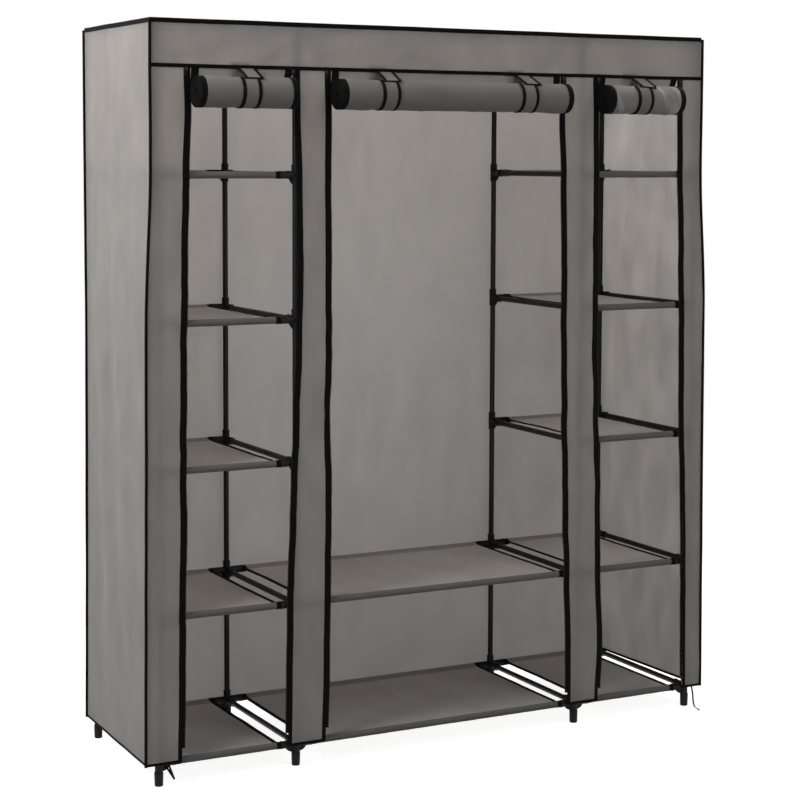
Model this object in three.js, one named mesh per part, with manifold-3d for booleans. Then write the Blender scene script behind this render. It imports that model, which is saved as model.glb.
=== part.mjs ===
// Portable fabric wardrobe: a plug-together tube frame in three bays, cloth shelves, and a cloth
// cover whose three zipped doors are rolled up under the valance.
// Millimetres. +X runs to the right along the front, -Y faces the user, +Z is up.
import * as THREE from "three";
import { mergeVertices } from "three/addons/utils/BufferGeometryUtils.js";
import Module from "manifold-3d";

const wasm = await Module();
wasm.setup();

// Cover over its frame
const width = 1500;
const depth = 450;
const height = 1750;
const hemHeight = 52;
const valanceDrop = 104;
const cloth = 1.6;
const coverSlack = 1.6;
const coverFlare = 12;
const flareDrop = 480;

// Gap between pieces that touch, and the run past a face that a cut takes
const fit = 0.3;
const overrun = 2;

// Frame tubes and the plastic connectors that they plug into
const tubeRadius = 6.8;
const tubeSides = 8;
const socketWall = 2.9;
const socketReach = 40;
const socketDepth = 22;
const sleeveAbove = 24;
const sleeveBelow = 21;
const webReach = 16;
const webThickness = 3;
const middleBay = 782;
const levelCount = 6;
const firstLevel = 53;

// Feet
const footRadius = 9.6;
const footEase = 1.2;
const footSides = 8;
const spigotRadius = 3.6;
const spigotLength = 12;

// Cloth shelves, sewn round their front and back bars
const sleeveWall = 1.4;
const shelfSag = 7;
const shelfEndSagShare = 0.6;
const shelfSteps = 4;
const fullShelfLevels = 5;
const middleShelfLevels = 2;

// Hanging rod and its two holders
const rodDrop = 36;
const holderLength = 24;
const holderReach = 30;

// Laps of the front strips past the posts that they hang in front of
const leftStrip = 88;
const leftDividerLapOut = 16;
const leftDividerLapIn = 78;
const rightDividerLapIn = 62;
const rightDividerLapOut = 50;
const rightStrip = 70;

// Folds of the hanging cloth
const sideFold = 7;
const sideFoldCount = 3;
const backFold = 6;
const backFoldCount = 5;
const foldSlant = 1.4;
const edgeWave = 3;
const edgeWaveLength = 260;
const topSag = 6;
const clothRows = 10;

// Rolled doors
const rollRadius = 35;
const rollClear = 1.8;
const rollBelowSeam = 58;
const rollStep = 2;
const rollSwell = 1.2;
const swellRun = 12;
const rollShort = 16;
const curtainGap = 2;
const rollSides = 16;
const rollStarts = { left: 5, middle: 6, right: -11 };

// Straps that hold the rolls, placed along their door's opening
const strapWidth = 46;
const strapLap = 10;
const strapArcSteps = 14;
const strapPlaceShares = { left: [0.373], middle: [0.164, 0.741], right: [0.251] };

// Zip sliders
const sliderWidth = 9;
const sliderLength = 13;
const sliderThickness = 3;
const tabWidth = 4;
const tabLength = 5;
const sliderBelowSeam = 4;

// Cords that tie the hem to the legs
const tieRadius = 1.5;
const tieSides = 8;
const knotRadius = 2.8;
const tieStrandGap = 10;

// What follows from those sizes
const halfWidth = width / 2;
const halfDepth = depth / 2;
const seamHeight = height - valanceDrop;
const socketRadius = tubeRadius + fit + socketWall;
const boreRadius = tubeRadius + fit;
const postInset = cloth + coverSlack + socketRadius;
const postX = halfWidth - postInset;
const postY = halfDepth - postInset;
const dividerX = middleBay / 2;
const topLevel = height - cloth - fit - socketRadius;
const levelStep = (topLevel - firstLevel) / (levelCount - 1);
const levelHeight = (level) => firstLevel + levelStep * level;
const footHeight = firstLevel - sleeveBelow - fit;
const sleeveRadius = tubeRadius + sleeveWall;

const frontStrips = {
  left: [-halfWidth, -halfWidth + leftStrip],
  left_divider: [-dividerX - leftDividerLapOut, -dividerX + leftDividerLapIn],
  right_divider: [dividerX - rightDividerLapIn, dividerX + rightDividerLapOut],
  right: [halfWidth - rightStrip, halfWidth],
};
const doors = {
  left: [frontStrips.left[1], frontStrips.left_divider[0]],
  middle: [frontStrips.left_divider[1], frontStrips.right_divider[0]],
  right: [frontStrips.right_divider[1], frontStrips.right[0]],
};

// Finishes
const finish = (color, roughness, metalness = 0) =>
  new THREE.MeshStandardMaterial({ color, roughness, metalness });
const blackSteel = finish(0x121212, 0.4, 0.5);
const blackPlastic = finish(0x151515, 0.5);
const greyCloth = finish(0x86847d, 0.9);
const shelfCloth = finish(0x5c5854, 0.9);
const blackTape = finish(0x101010, 0.8);

// A closed geometry as a solid that can be joined and cut, and a solid as a geometry
function solidOf(geometry) {
  const bare = geometry.clone();
  bare.deleteAttribute("normal");
  bare.deleteAttribute("uv");
  const merged = mergeVertices(bare);
  return new wasm.Manifold(
    new wasm.Mesh({
      numProp: 3,
      vertProperties: new Float32Array(merged.attributes.position.array),
      triVerts: new Uint32Array(merged.index.array),
    }),
  );
}

function geometryOf(solid) {
  const { vertProperties, triVerts } = solid.getMesh();
  const geometry = new THREE.BufferGeometry();
  geometry.setAttribute("position", new THREE.BufferAttribute(vertProperties, 3));
  geometry.setIndex(new THREE.BufferAttribute(triVerts, 1));
  geometry.computeVertexNormals();
  return geometry;
}

const joined = (geometries) =>
  geometries.map(solidOf).reduce((whole, piece) => whole.add(piece));
const cut = (solid, geometries) =>
  geometries.map(solidOf).reduce((left, piece) => left.subtract(piece), solid);

function named(name, shape, material) {
  const mesh = new THREE.Mesh(shape.isBufferGeometry ? shape : geometryOf(shape), material.clone());
  mesh.name = name;
  return mesh;
}

// A straight bar with its flats at the given radius, from one point along one axis
function bar(radius, start, axis, length, sides = tubeSides) {
  const corners = radius / Math.cos(Math.PI / sides);
  const geometry = new THREE.CylinderGeometry(corners, corners, length, sides);
  geometry.rotateY(Math.PI / sides);
  geometry.translate(0, length / 2, 0);
  const turn = new THREE.Quaternion().setFromUnitVectors(new THREE.Vector3(0, 1, 0), axis);
  return geometry.applyQuaternion(turn).translate(...start);
}

const alongX = new THREE.Vector3(1, 0, 0);
const againstX = new THREE.Vector3(-1, 0, 0);
const alongY = new THREE.Vector3(0, 1, 0);
const againstY = new THREE.Vector3(0, -1, 0);
const alongZ = new THREE.Vector3(0, 0, 1);

// A thin closed sheet between two surfaces of the same grid, each a function of (across, up)
function sheet(columns, rows, outer, inner) {
  const points = [];
  for (const side of [outer, inner])
    for (let row = 0; row <= rows; row++)
      for (let column = 0; column <= columns; column++)
        points.push(...side(column / columns, row / rows));
  const layer = (columns + 1) * (rows + 1);
  const at = (column, row, side) => side * layer + row * (columns + 1) + column;
  const faces = [];
  const quad = (a, b, c, d) => faces.push(a, b, c, a, c, d);
  for (let row = 0; row < rows; row++)
    for (let column = 0; column < columns; column++) {
      const [a, b, c, d] = [[0, 0], [1, 0], [1, 1], [0, 1]].map(([i, j]) => [column + i, row + j]);
      quad(at(...a, 0), at(...b, 0), at(...c, 0), at(...d, 0));
      quad(at(...d, 1), at(...c, 1), at(...b, 1), at(...a, 1));
    }
  for (let column = 0; column < columns; column++) {
    quad(at(column, 0, 1), at(column + 1, 0, 1), at(column + 1, 0, 0), at(column, 0, 0));
    quad(at(column, rows, 0), at(column + 1, rows, 0), at(column + 1, rows, 1), at(column, rows, 1));
  }
  for (let row = 0; row < rows; row++) {
    quad(at(0, row, 0), at(0, row + 1, 0), at(0, row + 1, 1), at(0, row, 1));
    quad(at(columns, row, 1), at(columns, row + 1, 1), at(columns, row + 1, 0), at(columns, row, 0));
  }
  const geometry = new THREE.BufferGeometry();
  geometry.setAttribute("position", new THREE.Float32BufferAttribute(points, 3));
  geometry.setIndex(faces);
  geometry.computeVertexNormals();
  return geometry;
}

// An outline in the plane across X, pulled out along X
function pulledAlongX(outline, start, length) {
  const shape = new THREE.Shape(outline);
  const geometry = new THREE.ExtrudeGeometry(shape, { depth: length, bevelEnabled: false });
  const basis = new THREE.Matrix4().makeBasis(alongY, alongZ, alongX);
  return geometry.applyMatrix4(basis).translate(start, 0, 0);
}

// The outline of a band of even thickness along a line of points
function bandOutline(line, thickness) {
  const sides = [1, -1].map((side) =>
    line.map((point, i) => {
      const along = line[Math.min(i + 1, line.length - 1)].clone().sub(line[Math.max(i - 1, 0)]);
      const across = new THREE.Vector2(-along.y, along.x).setLength((side * thickness) / 2);
      return point.clone().add(across);
    }),
  );
  return [...sides[0], ...sides[1].reverse()];
}

// Rows of the hanging cloth, from the hem to the valance's seam
const rowHeight = (row) => THREE.MathUtils.lerp(hemHeight, seamHeight, row / clothRows);

// The loose cover spreads from that seam down, in straight stretches from row to row
function spreadShare(z) {
  const up = THREE.MathUtils.clamp((z - hemHeight) / (seamHeight - hemHeight), 0, 1);
  const row = Math.min(Math.floor(up * clothRows), clothRows - 1);
  const shareAt = (n) => THREE.MathUtils.smoothstep(seamHeight - rowHeight(n), 0, flareDrop);
  return THREE.MathUtils.lerp(shareAt(row), shareAt(row + 1), up * clothRows - row);
}
const spread = (z) => coverFlare * spreadShare(z);
const spreadEdge = (x, z) => x * (1 + spread(z) / halfWidth);

// Side frames: two posts with a connector at each level, and the depth tubes between them
function sideFrame(name, x, plugsLeft, plugsRight) {
  const pieces = [];
  const bores = [];
  for (const side of [-1, 1]) {
    const y = side * postY;
    const inward = side < 0 ? alongY : againstY;
    const bottom = firstLevel - sleeveBelow;
    pieces.push(bar(tubeRadius, [x, y, bottom + fit], alongZ, topLevel - bottom));
    bores.push(
      bar(spigotRadius + fit, [x, y, bottom - overrun], alongZ, spigotLength + fit + overrun, footSides),
    );
    for (let level = 0; level < levelCount; level++) {
      const z = levelHeight(level);
      const above = level === levelCount - 1 ? socketRadius : sleeveAbove;
      pieces.push(bar(socketRadius, [x, y, z - sleeveBelow], alongZ, sleeveBelow + above));
      pieces.push(bar(socketRadius, [x, y, z], inward, socketReach));
      for (const [plugs, outward, sign] of [
        [plugsLeft, againstX, -1],
        [plugsRight, alongX, 1],
      ]) {
        if (!plugs(level)) continue;
        pieces.push(bar(socketRadius, [x, y, z], outward, socketReach));
        const mouth = x + sign * (socketReach - socketDepth);
        bores.push(bar(boreRadius, [mouth, y, z], outward, socketDepth + overrun));
        if (level === 0) pieces.push(web(x, y, z, sign));
      }
    }
  }
  for (let level = 0; level < levelCount; level++)
    pieces.push(bar(tubeRadius, [x, -postY, levelHeight(level)], alongY, postY * 2));
  return named(name, cut(joined(pieces), bores), blackSteel);
}

// The gusset under a bottom connector's side socket
function web(x, y, z, sign) {
  const inside = socketRadius / 2;
  const shape = new THREE.Shape([
    new THREE.Vector2(inside, -inside),
    new THREE.Vector2(inside, -sleeveBelow),
    new THREE.Vector2(socketRadius, -sleeveBelow),
    new THREE.Vector2(socketRadius + webReach, -inside),
  ]);
  const geometry = new THREE.ExtrudeGeometry(shape, { depth: webThickness, bevelEnabled: false });
  geometry.translate(0, 0, -webThickness / 2).rotateX(Math.PI / 2);
  if (sign < 0) geometry.rotateZ(Math.PI);
  return geometry.translate(x, y, z);
}

const everyLevel = () => true;
const noLevel = () => false;
const middleLevels = (level) => level < middleShelfLevels || level === levelCount - 1;
const frame = new THREE.Group();
frame.add(
  sideFrame("side_frame_left", -postX, noLevel, everyLevel),
  sideFrame("side_frame_left_divider", -dividerX, everyLevel, middleLevels),
  sideFrame("side_frame_right_divider", dividerX, middleLevels, everyLevel),
  sideFrame("side_frame_right", postX, everyLevel, noLevel),
);

// Feet: moulded caps whose spigots plug into the bottom connectors
function foot(name, x, y) {
  const profile = [
    [0, 0],
    [footRadius - footEase, 0],
    [footRadius, footEase],
    [footRadius, footHeight],
    [spigotRadius, footHeight],
    [spigotRadius, footHeight + spigotLength],
    [0, footHeight + spigotLength],
  ].map(([radius, z]) => new THREE.Vector2(radius, z));
  const geometry = new THREE.LatheGeometry(profile, footSides);
  geometry.rotateY(Math.PI / footSides).rotateX(Math.PI / 2);
  return named(name, solidOf(geometry.translate(x, y, 0)), blackPlastic);
}

const posts = {
  left: -postX,
  left_divider: -dividerX,
  right_divider: dividerX,
  right: postX,
};
for (const [side, x] of Object.entries(posts)) {
  frame.add(foot(`foot_front_${side}`, x, -postY));
  frame.add(foot(`foot_back_${side}`, x, postY));
}

// Bays between the side frames, with the levels that carry a shelf
const bays = {
  left: { from: -postX, to: -dividerX, shelves: fullShelfLevels },
  middle: { from: -dividerX, to: dividerX, shelves: middleShelfLevels },
  right: { from: dividerX, to: postX, shelves: fullShelfLevels },
};
const barStart = (bay) => bay.from + socketReach - socketDepth + fit;
const barLength = (bay) => bay.to - bay.from - 2 * (socketReach - socketDepth + fit);

// A shelf: cloth that sags between two sleeves, each sewn round a bar that plugs in at both ends
function shelf(name, bay, level) {
  const z = levelHeight(level);
  const from = bay.from + socketReach + fit;
  const to = bay.to - socketReach - fit;
  const surface = (drop) => (across, along) => {
    const sagShare = THREE.MathUtils.lerp(shelfEndSagShare, 1, Math.sin(Math.PI * across));
    const sag = shelfSag * Math.sin(Math.PI * along) * sagShare;
    return [from + (to - from) * across, postY * (2 * along - 1), z + sleeveRadius - sag - drop];
  };
  const pieces = [sheet(2, shelfSteps, surface(0), surface(cloth))];
  for (const y of [-postY, postY]) {
    pieces.push(bar(sleeveRadius, [from, y, z], alongX, to - from));
    pieces.push(bar(tubeRadius, [barStart(bay), y, z], alongX, barLength(bay)));
  }
  return named(name, joined(pieces), shelfCloth);
}

for (const [side, bay] of Object.entries(bays)) {
  for (let level = 0; level < bay.shelves; level++)
    frame.add(shelf(`shelf_${side}_${level + 1}`, bay, level));
  for (const [end, y] of [["front", -postY], ["back", postY]]) {
    const topBar = bar(tubeRadius, [barStart(bay), y, topLevel], alongX, barLength(bay));
    frame.add(named(`top_bar_${end}_${side}`, topBar, blackSteel));
  }
}

// Hanging rod, and the holders that clip round the dividers' top depth tubes
const rodHeight = topLevel - rodDrop;
function rodHolder(name, sign) {
  const x = sign * dividerX;
  const inward = sign < 0 ? alongX : againstX;
  const collar = bar(socketRadius, [x, -holderLength / 2, topLevel], alongY, holderLength);
  const drop = new THREE.BoxGeometry(socketRadius, holderLength / 2, rodDrop);
  drop.translate(x, 0, topLevel - rodDrop / 2);
  const socket = bar(socketRadius, [x + sign * socketRadius, 0, rodHeight], inward, holderReach + socketRadius);
  const mouth = x - sign * (holderReach - socketDepth);
  return named(
    name,
    cut(joined([collar, drop, socket]), [
      bar(boreRadius, [x, -holderLength / 2 - overrun, topLevel], alongY, holderLength + 2 * overrun),
      bar(boreRadius, [mouth, 0, rodHeight], inward, socketDepth + overrun),
    ]),
    blackPlastic,
  );
}
const rodHalf = dividerX - holderReach + socketDepth - fit;
frame.add(
  rodHolder("rod_holder_left", -1),
  rodHolder("rod_holder_right", 1),
  named("hanging_rod", bar(tubeRadius, [-rodHalf, 0, rodHeight], alongX, rodHalf * 2), blackSteel),
);

// Cover: top, sides, back, valance and four front strips, each seam a fit apart
const cover = new THREE.Group();
const underTop = height - cloth - fit;
const inSides = halfWidth - cloth - fit;
const bayEdges = [-halfWidth, -dividerX, dividerX, halfWidth];
const topStepsPerBay = 4;
const topSteps = topStepsPerBay * (bayEdges.length - 1);
const topSurface = (drop) => (across, along) => {
  const step = Math.round(across * topSteps);
  const bay = Math.min(Math.floor(step / topStepsPerBay), bayEdges.length - 2);
  const share = step / topStepsPerBay - bay;
  const x = THREE.MathUtils.lerp(bayEdges[bay], bayEdges[bay + 1], share);
  const sag = topSag * (Math.sin(Math.PI * share) * Math.sin(Math.PI * along)) ** 2;
  return [x, halfDepth * (2 * along - 1), height - sag - drop];
};
cover.add(named("cover_top", sheet(topSteps, 4, topSurface(0), topSurface(cloth)), greyCloth));

// Side and back panels have the hanging rows and one more, from the seam's height to the top
const panelRows = clothRows + 1;
const panelHeight = (up) => {
  const row = Math.round(up * panelRows);
  return row > clothRows ? underTop : rowHeight(row);
};
const fold = (count, along, up) =>
  Math.sin(Math.PI * along) * (0.5 - 0.5 * Math.cos(2 * Math.PI * (count * along + foldSlant * up)));
function sidePanel(name, sign) {
  const surface = (inset) => (along, up) => {
    const y = sign * halfDepth * (2 * along - 1);
    const z = panelHeight(up);
    const bulge = sideFold * fold(sideFoldCount, along, up) * spreadShare(z);
    return [sign * (halfWidth + spread(z) + bulge - inset), y, z];
  };
  return named(name, sheet(8, panelRows, surface(0), surface(cloth)), greyCloth);
}
cover.add(sidePanel("cover_side_left", -1), sidePanel("cover_side_right", 1));

const backSurface = (inset) => (across, up) => {
  const z = panelHeight(up);
  const x = (inSides + spread(z)) * (1 - 2 * across);
  const bulge = backFold * fold(backFoldCount, across, up) * Math.sin(Math.PI * up);
  return [x, halfDepth + bulge - inset, z];
};
cover.add(named("cover_back", sheet(10, panelRows, backSurface(0), backSurface(cloth)), greyCloth));

const valanceSurface = (inset) => (across, up) => [
  inSides * (2 * across - 1),
  -halfDepth + inset,
  THREE.MathUtils.lerp(seamHeight, underTop, up),
];
cover.add(named("cover_valance", sheet(6, 1, valanceSurface(0), valanceSurface(cloth)), greyCloth));

// A front strip: its free edges wave, inwards only clear of the sockets of the post behind it, and
// its outer corner follows the side panel
function frontStrip(name, [from, to], post) {
  const edge = (x, z, sway) => {
    if (Math.abs(x) < halfWidth) return spreadEdge(x, z) + sway;
    return Math.sign(x) * (inSides + spread(z));
  };
  const surface = (inset) => (across, up) => {
    const z = THREE.MathUtils.lerp(hemHeight, seamHeight - fit, up);
    const wave = Math.sin((2 * Math.PI * (z - hemHeight)) / edgeWaveLength + from);
    const held = Math.sin(Math.PI * up);
    const sway = edgeWave * wave * held;
    const x = THREE.MathUtils.lerp(edge(from, z, sway), edge(to, z, -sway), across);
    const clear = THREE.MathUtils.clamp(Math.abs(x - post) / socketReach - 1, 0, 1);
    return [x, -halfDepth + inset + edgeWave * (0.5 + 0.5 * wave) * held * clear, z];
  };
  return named(name, sheet(2, 2 * clothRows, surface(0), surface(cloth)), greyCloth);
}
for (const [side, edges] of Object.entries(frontStrips))
  cover.add(frontStrip(`front_strip_${side}`, edges, posts[side]));

// Doors: a short flat length below the seam, and the rest rolled up on itself
const rollY = -halfDepth - rollClear - rollSwell - rollRadius;
const rollZ = seamHeight - rollBelowSeam;
const strapPlaces = (side) =>
  strapPlaceShares[side].map((share) => share * (doors[side][1] - doors[side][0]));
const rollFrom = (side) => doors[side][0] + rollStarts[side];
const rollLength = (side) => doors[side][1] - doors[side][0] - rollShort;

function curtain(side) {
  const [from, to] = doors[side];
  const surface = (inset) => (across, up) => [
    THREE.MathUtils.lerp(from + curtainGap, to - curtainGap, across),
    THREE.MathUtils.lerp(-halfDepth - rollClear + fit, -halfDepth, up) + inset,
    THREE.MathUtils.lerp(rollZ, seamHeight - fit, up),
  ];
  return named(`door_${side}_curtain`, sheet(4, 1, surface(0), surface(cloth)), greyCloth);
}

// The roll swells past its straps, and its cloth ends in a step along the bottom
function roll(side) {
  const length = rollLength(side);
  const held = strapWidth / 2 + fit;
  const rings = [[0, rollSwell]];
  for (const place of strapPlaces(side)) {
    const x = place + strapWidth / 2 - rollStarts[side];
    rings.push([x - held - swellRun, rollSwell], [x - held, 0], [x + held, 0], [x + held + swellRun, rollSwell]);
  }
  rings.push([length, rollSwell]);
  const points = [];
  for (const [x, swell] of rings)
    for (let corner = 0; corner < rollSides; corner++) {
      const angle = (2 * Math.PI * corner) / rollSides - Math.PI / 2;
      const radius = rollRadius + swell - (rollStep * corner) / (rollSides - 1);
      points.push([rollFrom(side) + x, rollY + radius * Math.cos(angle), rollZ + radius * Math.sin(angle)]);
    }
  const faces = [];
  for (let ring = 0; ring < rings.length - 1; ring++)
    for (let corner = 0; corner < rollSides; corner++) {
      const next = (corner + 1) % rollSides;
      const [a, b] = [ring * rollSides + corner, ring * rollSides + next];
      faces.push(a, b, b + rollSides, a, b + rollSides, a + rollSides);
    }
  const last = (rings.length - 1) * rollSides;
  const ends = [points.length, points.length + 1];
  points.push([rollFrom(side), rollY, rollZ], [rollFrom(side) + length, rollY, rollZ]);
  for (let corner = 0; corner < rollSides; corner++) {
    const next = (corner + 1) % rollSides;
    faces.push(ends[0], next, corner, ends[1], last + corner, last + next);
  }
  const geometry = new THREE.BufferGeometry();
  geometry.setAttribute("position", new THREE.Float32BufferAttribute(points.flat(), 3));
  geometry.setIndex(faces);
  geometry.computeVertexNormals();
  return named(`door_${side}_roll`, solidOf(geometry), greyCloth);
}

// A strap: from the valance's face over the roll, round it, under it and up behind the curtain
function strap(name, x) {
  const centre = new THREE.Vector2(rollY, rollZ);
  const radius = rollRadius + fit + cloth / 2;
  const front = new THREE.Vector2(-halfDepth - fit - cloth / 2, seamHeight);
  const back = new THREE.Vector2(-halfDepth + cloth + fit + cloth / 2, rollZ);
  const reach = (point, turn) => {
    const away = point.clone().sub(centre);
    return away.angle() + turn * Math.acos(radius / away.length());
  };
  const start = reach(front, 1);
  const end = reach(back, -1) + 2 * Math.PI;
  const line = [new THREE.Vector2(front.x, seamHeight + strapLap), front];
  for (let step = 0; step <= strapArcSteps; step++) {
    const angle = THREE.MathUtils.lerp(start, end, step / strapArcSteps);
    line.push(new THREE.Vector2(Math.cos(angle), Math.sin(angle)).multiplyScalar(radius).add(centre));
  }
  line.push(back, new THREE.Vector2(back.x, seamHeight + strapLap));
  return named(name, solidOf(pulledAlongX(bandOutline(line, cloth), x, strapWidth)), blackTape);
}

// A zip slider with its pull tab, on the face of a strip's edge
function slider(name, edge, sign) {
  const [half, tab] = [sliderWidth / 2, tabWidth / 2];
  const shape = new THREE.Shape(
    [
      [-half, 0],
      [-half, -sliderLength],
      [-tab, -sliderLength],
      [-tab, -sliderLength - tabLength],
      [tab, -sliderLength - tabLength],
      [tab, -sliderLength],
      [half, -sliderLength],
      [half, 0],
    ].map(([x, z]) => new THREE.Vector2(x, z)),
  );
  const geometry = new THREE.ExtrudeGeometry(shape, { depth: sliderThickness, bevelEnabled: false });
  geometry.rotateX(Math.PI / 2);
  geometry.translate(edge + sign * half, -halfDepth - fit, seamHeight - sliderBelowSeam);
  return named(name, solidOf(geometry), blackSteel);
}

const doorGroup = new THREE.Group();
for (const [side, [from, to]] of Object.entries(doors)) {
  doorGroup.add(curtain(side), roll(side));
  strapPlaces(side).forEach((place, i) => {
    doorGroup.add(strap(`door_${side}_strap_${i + 1}`, from + place));
  });
  doorGroup.add(slider(`zip_slider_${side}_door_left`, from, -1));
  doorGroup.add(slider(`zip_slider_${side}_door_right`, to, 1));
}

// Ties: at the left a knotted pair of strands below the hem, at the right one cord to the floor
const vector = (point) => new THREE.Vector3(...point);
function cordTube(points, steps) {
  const section = new THREE.Shape();
  for (let corner = 0; corner < tieSides; corner++) {
    const angle = (2 * Math.PI * corner) / tieSides;
    const [x, y] = [tieRadius * Math.cos(angle), tieRadius * Math.sin(angle)];
    if (corner) section.lineTo(x, y);
    else section.moveTo(x, y);
  }
  const path = new THREE.CatmullRomCurve3(points.map(vector));
  return new THREE.ExtrudeGeometry(section, { extrudePath: path, steps, bevelEnabled: false });
}

const tieTop = hemHeight - fit;
const tieY = -halfDepth + tieRadius;
const leftTieTip = [-halfWidth + 54, tieY, 16];
const leftTie = [26, 26 + tieStrandGap].map((start) => {
  const x = -halfWidth + start;
  const middleX = (x + leftTieTip[0]) / 2;
  return cordTube([[x, tieY, tieTop], [x, tieY, tieTop - 4], [middleX, tieY, 32], leftTieTip], 5);
});
const knot = new THREE.SphereGeometry(knotRadius, tieSides, tieSides / 2);
cover.add(
  named("tie_front_left", joined([...leftTie, knot.translate(...leftTieTip)]), blackTape),
);
const rightTiePoints = [
  [halfWidth + 3, tieY, tieTop],
  [halfWidth + 3, tieY, tieTop - 4],
  [halfWidth + 4, tieY - 3, 34],
  [halfWidth + 2, tieY - 9, 14],
  [halfWidth - 1, tieY - 18, 4],
  [halfWidth - 5, tieY - 32, 1.8],
  [halfWidth - 8, tieY - 48, 1.8],
];
cover.add(named("tie_front_right", solidOf(cordTube(rightTiePoints, 12)), blackTape));

// The whole stands on z = 0 with its box centred over the origin
const wardrobe = new THREE.Group();
wardrobe.add(frame, cover, doorGroup);
const box = new THREE.Box3().setFromObject(wardrobe);
const middle = box.getCenter(new THREE.Vector3());
wardrobe.position.set(-middle.x, -middle.y, -box.min.z);

export default wardrobe;
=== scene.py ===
import math

import bmesh
import bpy
from mathutils import Matrix, Vector, noise


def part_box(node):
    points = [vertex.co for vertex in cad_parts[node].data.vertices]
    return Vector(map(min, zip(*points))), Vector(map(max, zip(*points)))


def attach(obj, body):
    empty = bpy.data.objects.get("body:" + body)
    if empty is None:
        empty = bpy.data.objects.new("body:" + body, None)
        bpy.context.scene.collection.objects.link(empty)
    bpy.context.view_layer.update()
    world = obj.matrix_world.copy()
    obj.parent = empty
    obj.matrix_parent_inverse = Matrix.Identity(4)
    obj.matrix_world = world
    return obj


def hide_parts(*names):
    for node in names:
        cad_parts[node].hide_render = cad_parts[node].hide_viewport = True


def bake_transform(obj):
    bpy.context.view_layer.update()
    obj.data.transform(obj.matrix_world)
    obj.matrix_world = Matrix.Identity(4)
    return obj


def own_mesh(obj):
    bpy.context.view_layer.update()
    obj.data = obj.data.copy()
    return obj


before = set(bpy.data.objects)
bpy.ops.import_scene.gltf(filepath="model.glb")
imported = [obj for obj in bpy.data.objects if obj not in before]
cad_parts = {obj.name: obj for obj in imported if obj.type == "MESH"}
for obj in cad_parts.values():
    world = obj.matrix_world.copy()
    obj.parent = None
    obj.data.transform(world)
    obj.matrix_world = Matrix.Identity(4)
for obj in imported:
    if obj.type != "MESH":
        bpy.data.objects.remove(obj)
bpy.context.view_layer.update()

# The photograph's view: a long lens at chest height in front of the left corner, turned to the
# right and a little down, and shifted so that the posts stay upright in the picture.
camera_turn = math.radians(27.63)
camera_dip = math.radians(4.75)
camera_roll = math.radians(0.19)
scene = bpy.context.scene
lens = bpy.data.cameras.new("photo_lens")
lens.lens = 88.46
lens.shift_y = -0.1
camera = bpy.data.objects.new("photo_camera", lens)
camera.location = (-2.2983, -4.3456, 1.444)
camera.rotation_euler = (math.pi / 2 - camera_dip, -camera_roll, -camera_turn)
scene.collection.objects.link(camera)
scene.camera = camera
scene.view_settings.view_transform = "Standard"

# The studio: faint light from all round, and four broad lamps above head height: the strongest at
# the left, one behind and one at the right that shine through the thin cloth, and one in front.
sky_level = 0.12
lamp_aim = Vector((0, 0, 0.9))
# Each lamp's place, width and power.
lamps = {
    "left_lamp": ((-2.6, -0.5, 2.7), 1.6, 63),
    "front_lamp": ((0.8, -3.2, 3.0), 2.0, 25),
    "back_lamp": ((-0.5, 1.8, 2.7), 1.8, 41),
    "right_lamp": ((2.1, 0.4, 2.8), 1.4, 46),
}


def add(owner, kind, inputs=None, output=0, **settings):
    """Adds a node with its settings, sets or links its inputs, and returns one of its outputs."""
    made = owner.node_tree.nodes.new(kind)
    for key, value in settings.items():
        setattr(made, key, value)
    for key, value in (inputs or {}).items():
        if isinstance(value, bpy.types.NodeSocket):
            owner.node_tree.links.new(value, made.inputs[key])
        else:
            made.inputs[key].default_value = value
    return made.outputs[output]


def feed(owner, value, node, socket):
    """Links a value to a socket of one of the nodes that a material or world starts with."""
    owner.node_tree.links.new(value, owner.node_tree.nodes[node].inputs[socket])


def show(owner, seen, lighting, end):
    """Shows one shader to the camera, itself, in a gloss or through glass, and lights with another."""
    rays = owner.node_tree.nodes.new("ShaderNodeLightPath").outputs
    through = {0: rays["Is Transmission Ray"], 1: rays["Is Diffuse Ray"]}
    share = add(owner, "ShaderNodeMath", through, operation="SUBTRACT", use_clamp=True)
    for kind in ("Is Camera Ray", "Is Glossy Ray"):
        share = add(owner, "ShaderNodeMath", {0: share, 1: rays[kind]}, operation="MAXIMUM")
    mixed = add(owner, "ShaderNodeMixShader", {"Fac": share, 1: lighting, 2: seen})
    feed(owner, mixed, end, "Surface")


world = bpy.data.worlds.new("studio")
world.use_nodes = True
scene.world = world
seen_sky = world.node_tree.nodes["Background"]
seen_sky.inputs["Color"].default_value = (1, 1, 1, 1)
lighting_sky = add(world, "ShaderNodeBackground", {"Strength": sky_level})
show(world, seen_sky.outputs[0], lighting_sky, "World Output")

for lamp_name, (lamp_place, lamp_size, lamp_power) in lamps.items():
    lamp = bpy.data.lights.new(lamp_name, "AREA")
    lamp.size = lamp_size
    lamp.energy = lamp_power
    lamp_object = bpy.data.objects.new(lamp_name, lamp)
    lamp_object.location = lamp_place
    lamp_object.visible_camera = False
    lamp_object.rotation_euler = (lamp_aim - Vector(lamp_place)).to_track_quat("-Z", "Y").to_euler()
    scene.collection.objects.link(lamp_object)

# The floor: a pale grey sheet that reaches far past the picture. What the camera sees of it is
# lifted to white, and it still darkens a little under the wardrobe.
floor_reach = 40.0
paper_grey = 0.4
paper_glow = 0.9


def finish(name, roughness, **plain):
    """A new material, with these plain numbers set on its surface."""
    material = bpy.data.materials.new(name)
    material.use_nodes = True
    surface = material.node_tree.nodes["Principled BSDF"].inputs
    surface["Roughness"].default_value = roughness
    for socket, value in plain.items():
        surface[socket.replace("_", " ")].default_value = value
    return material


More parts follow.
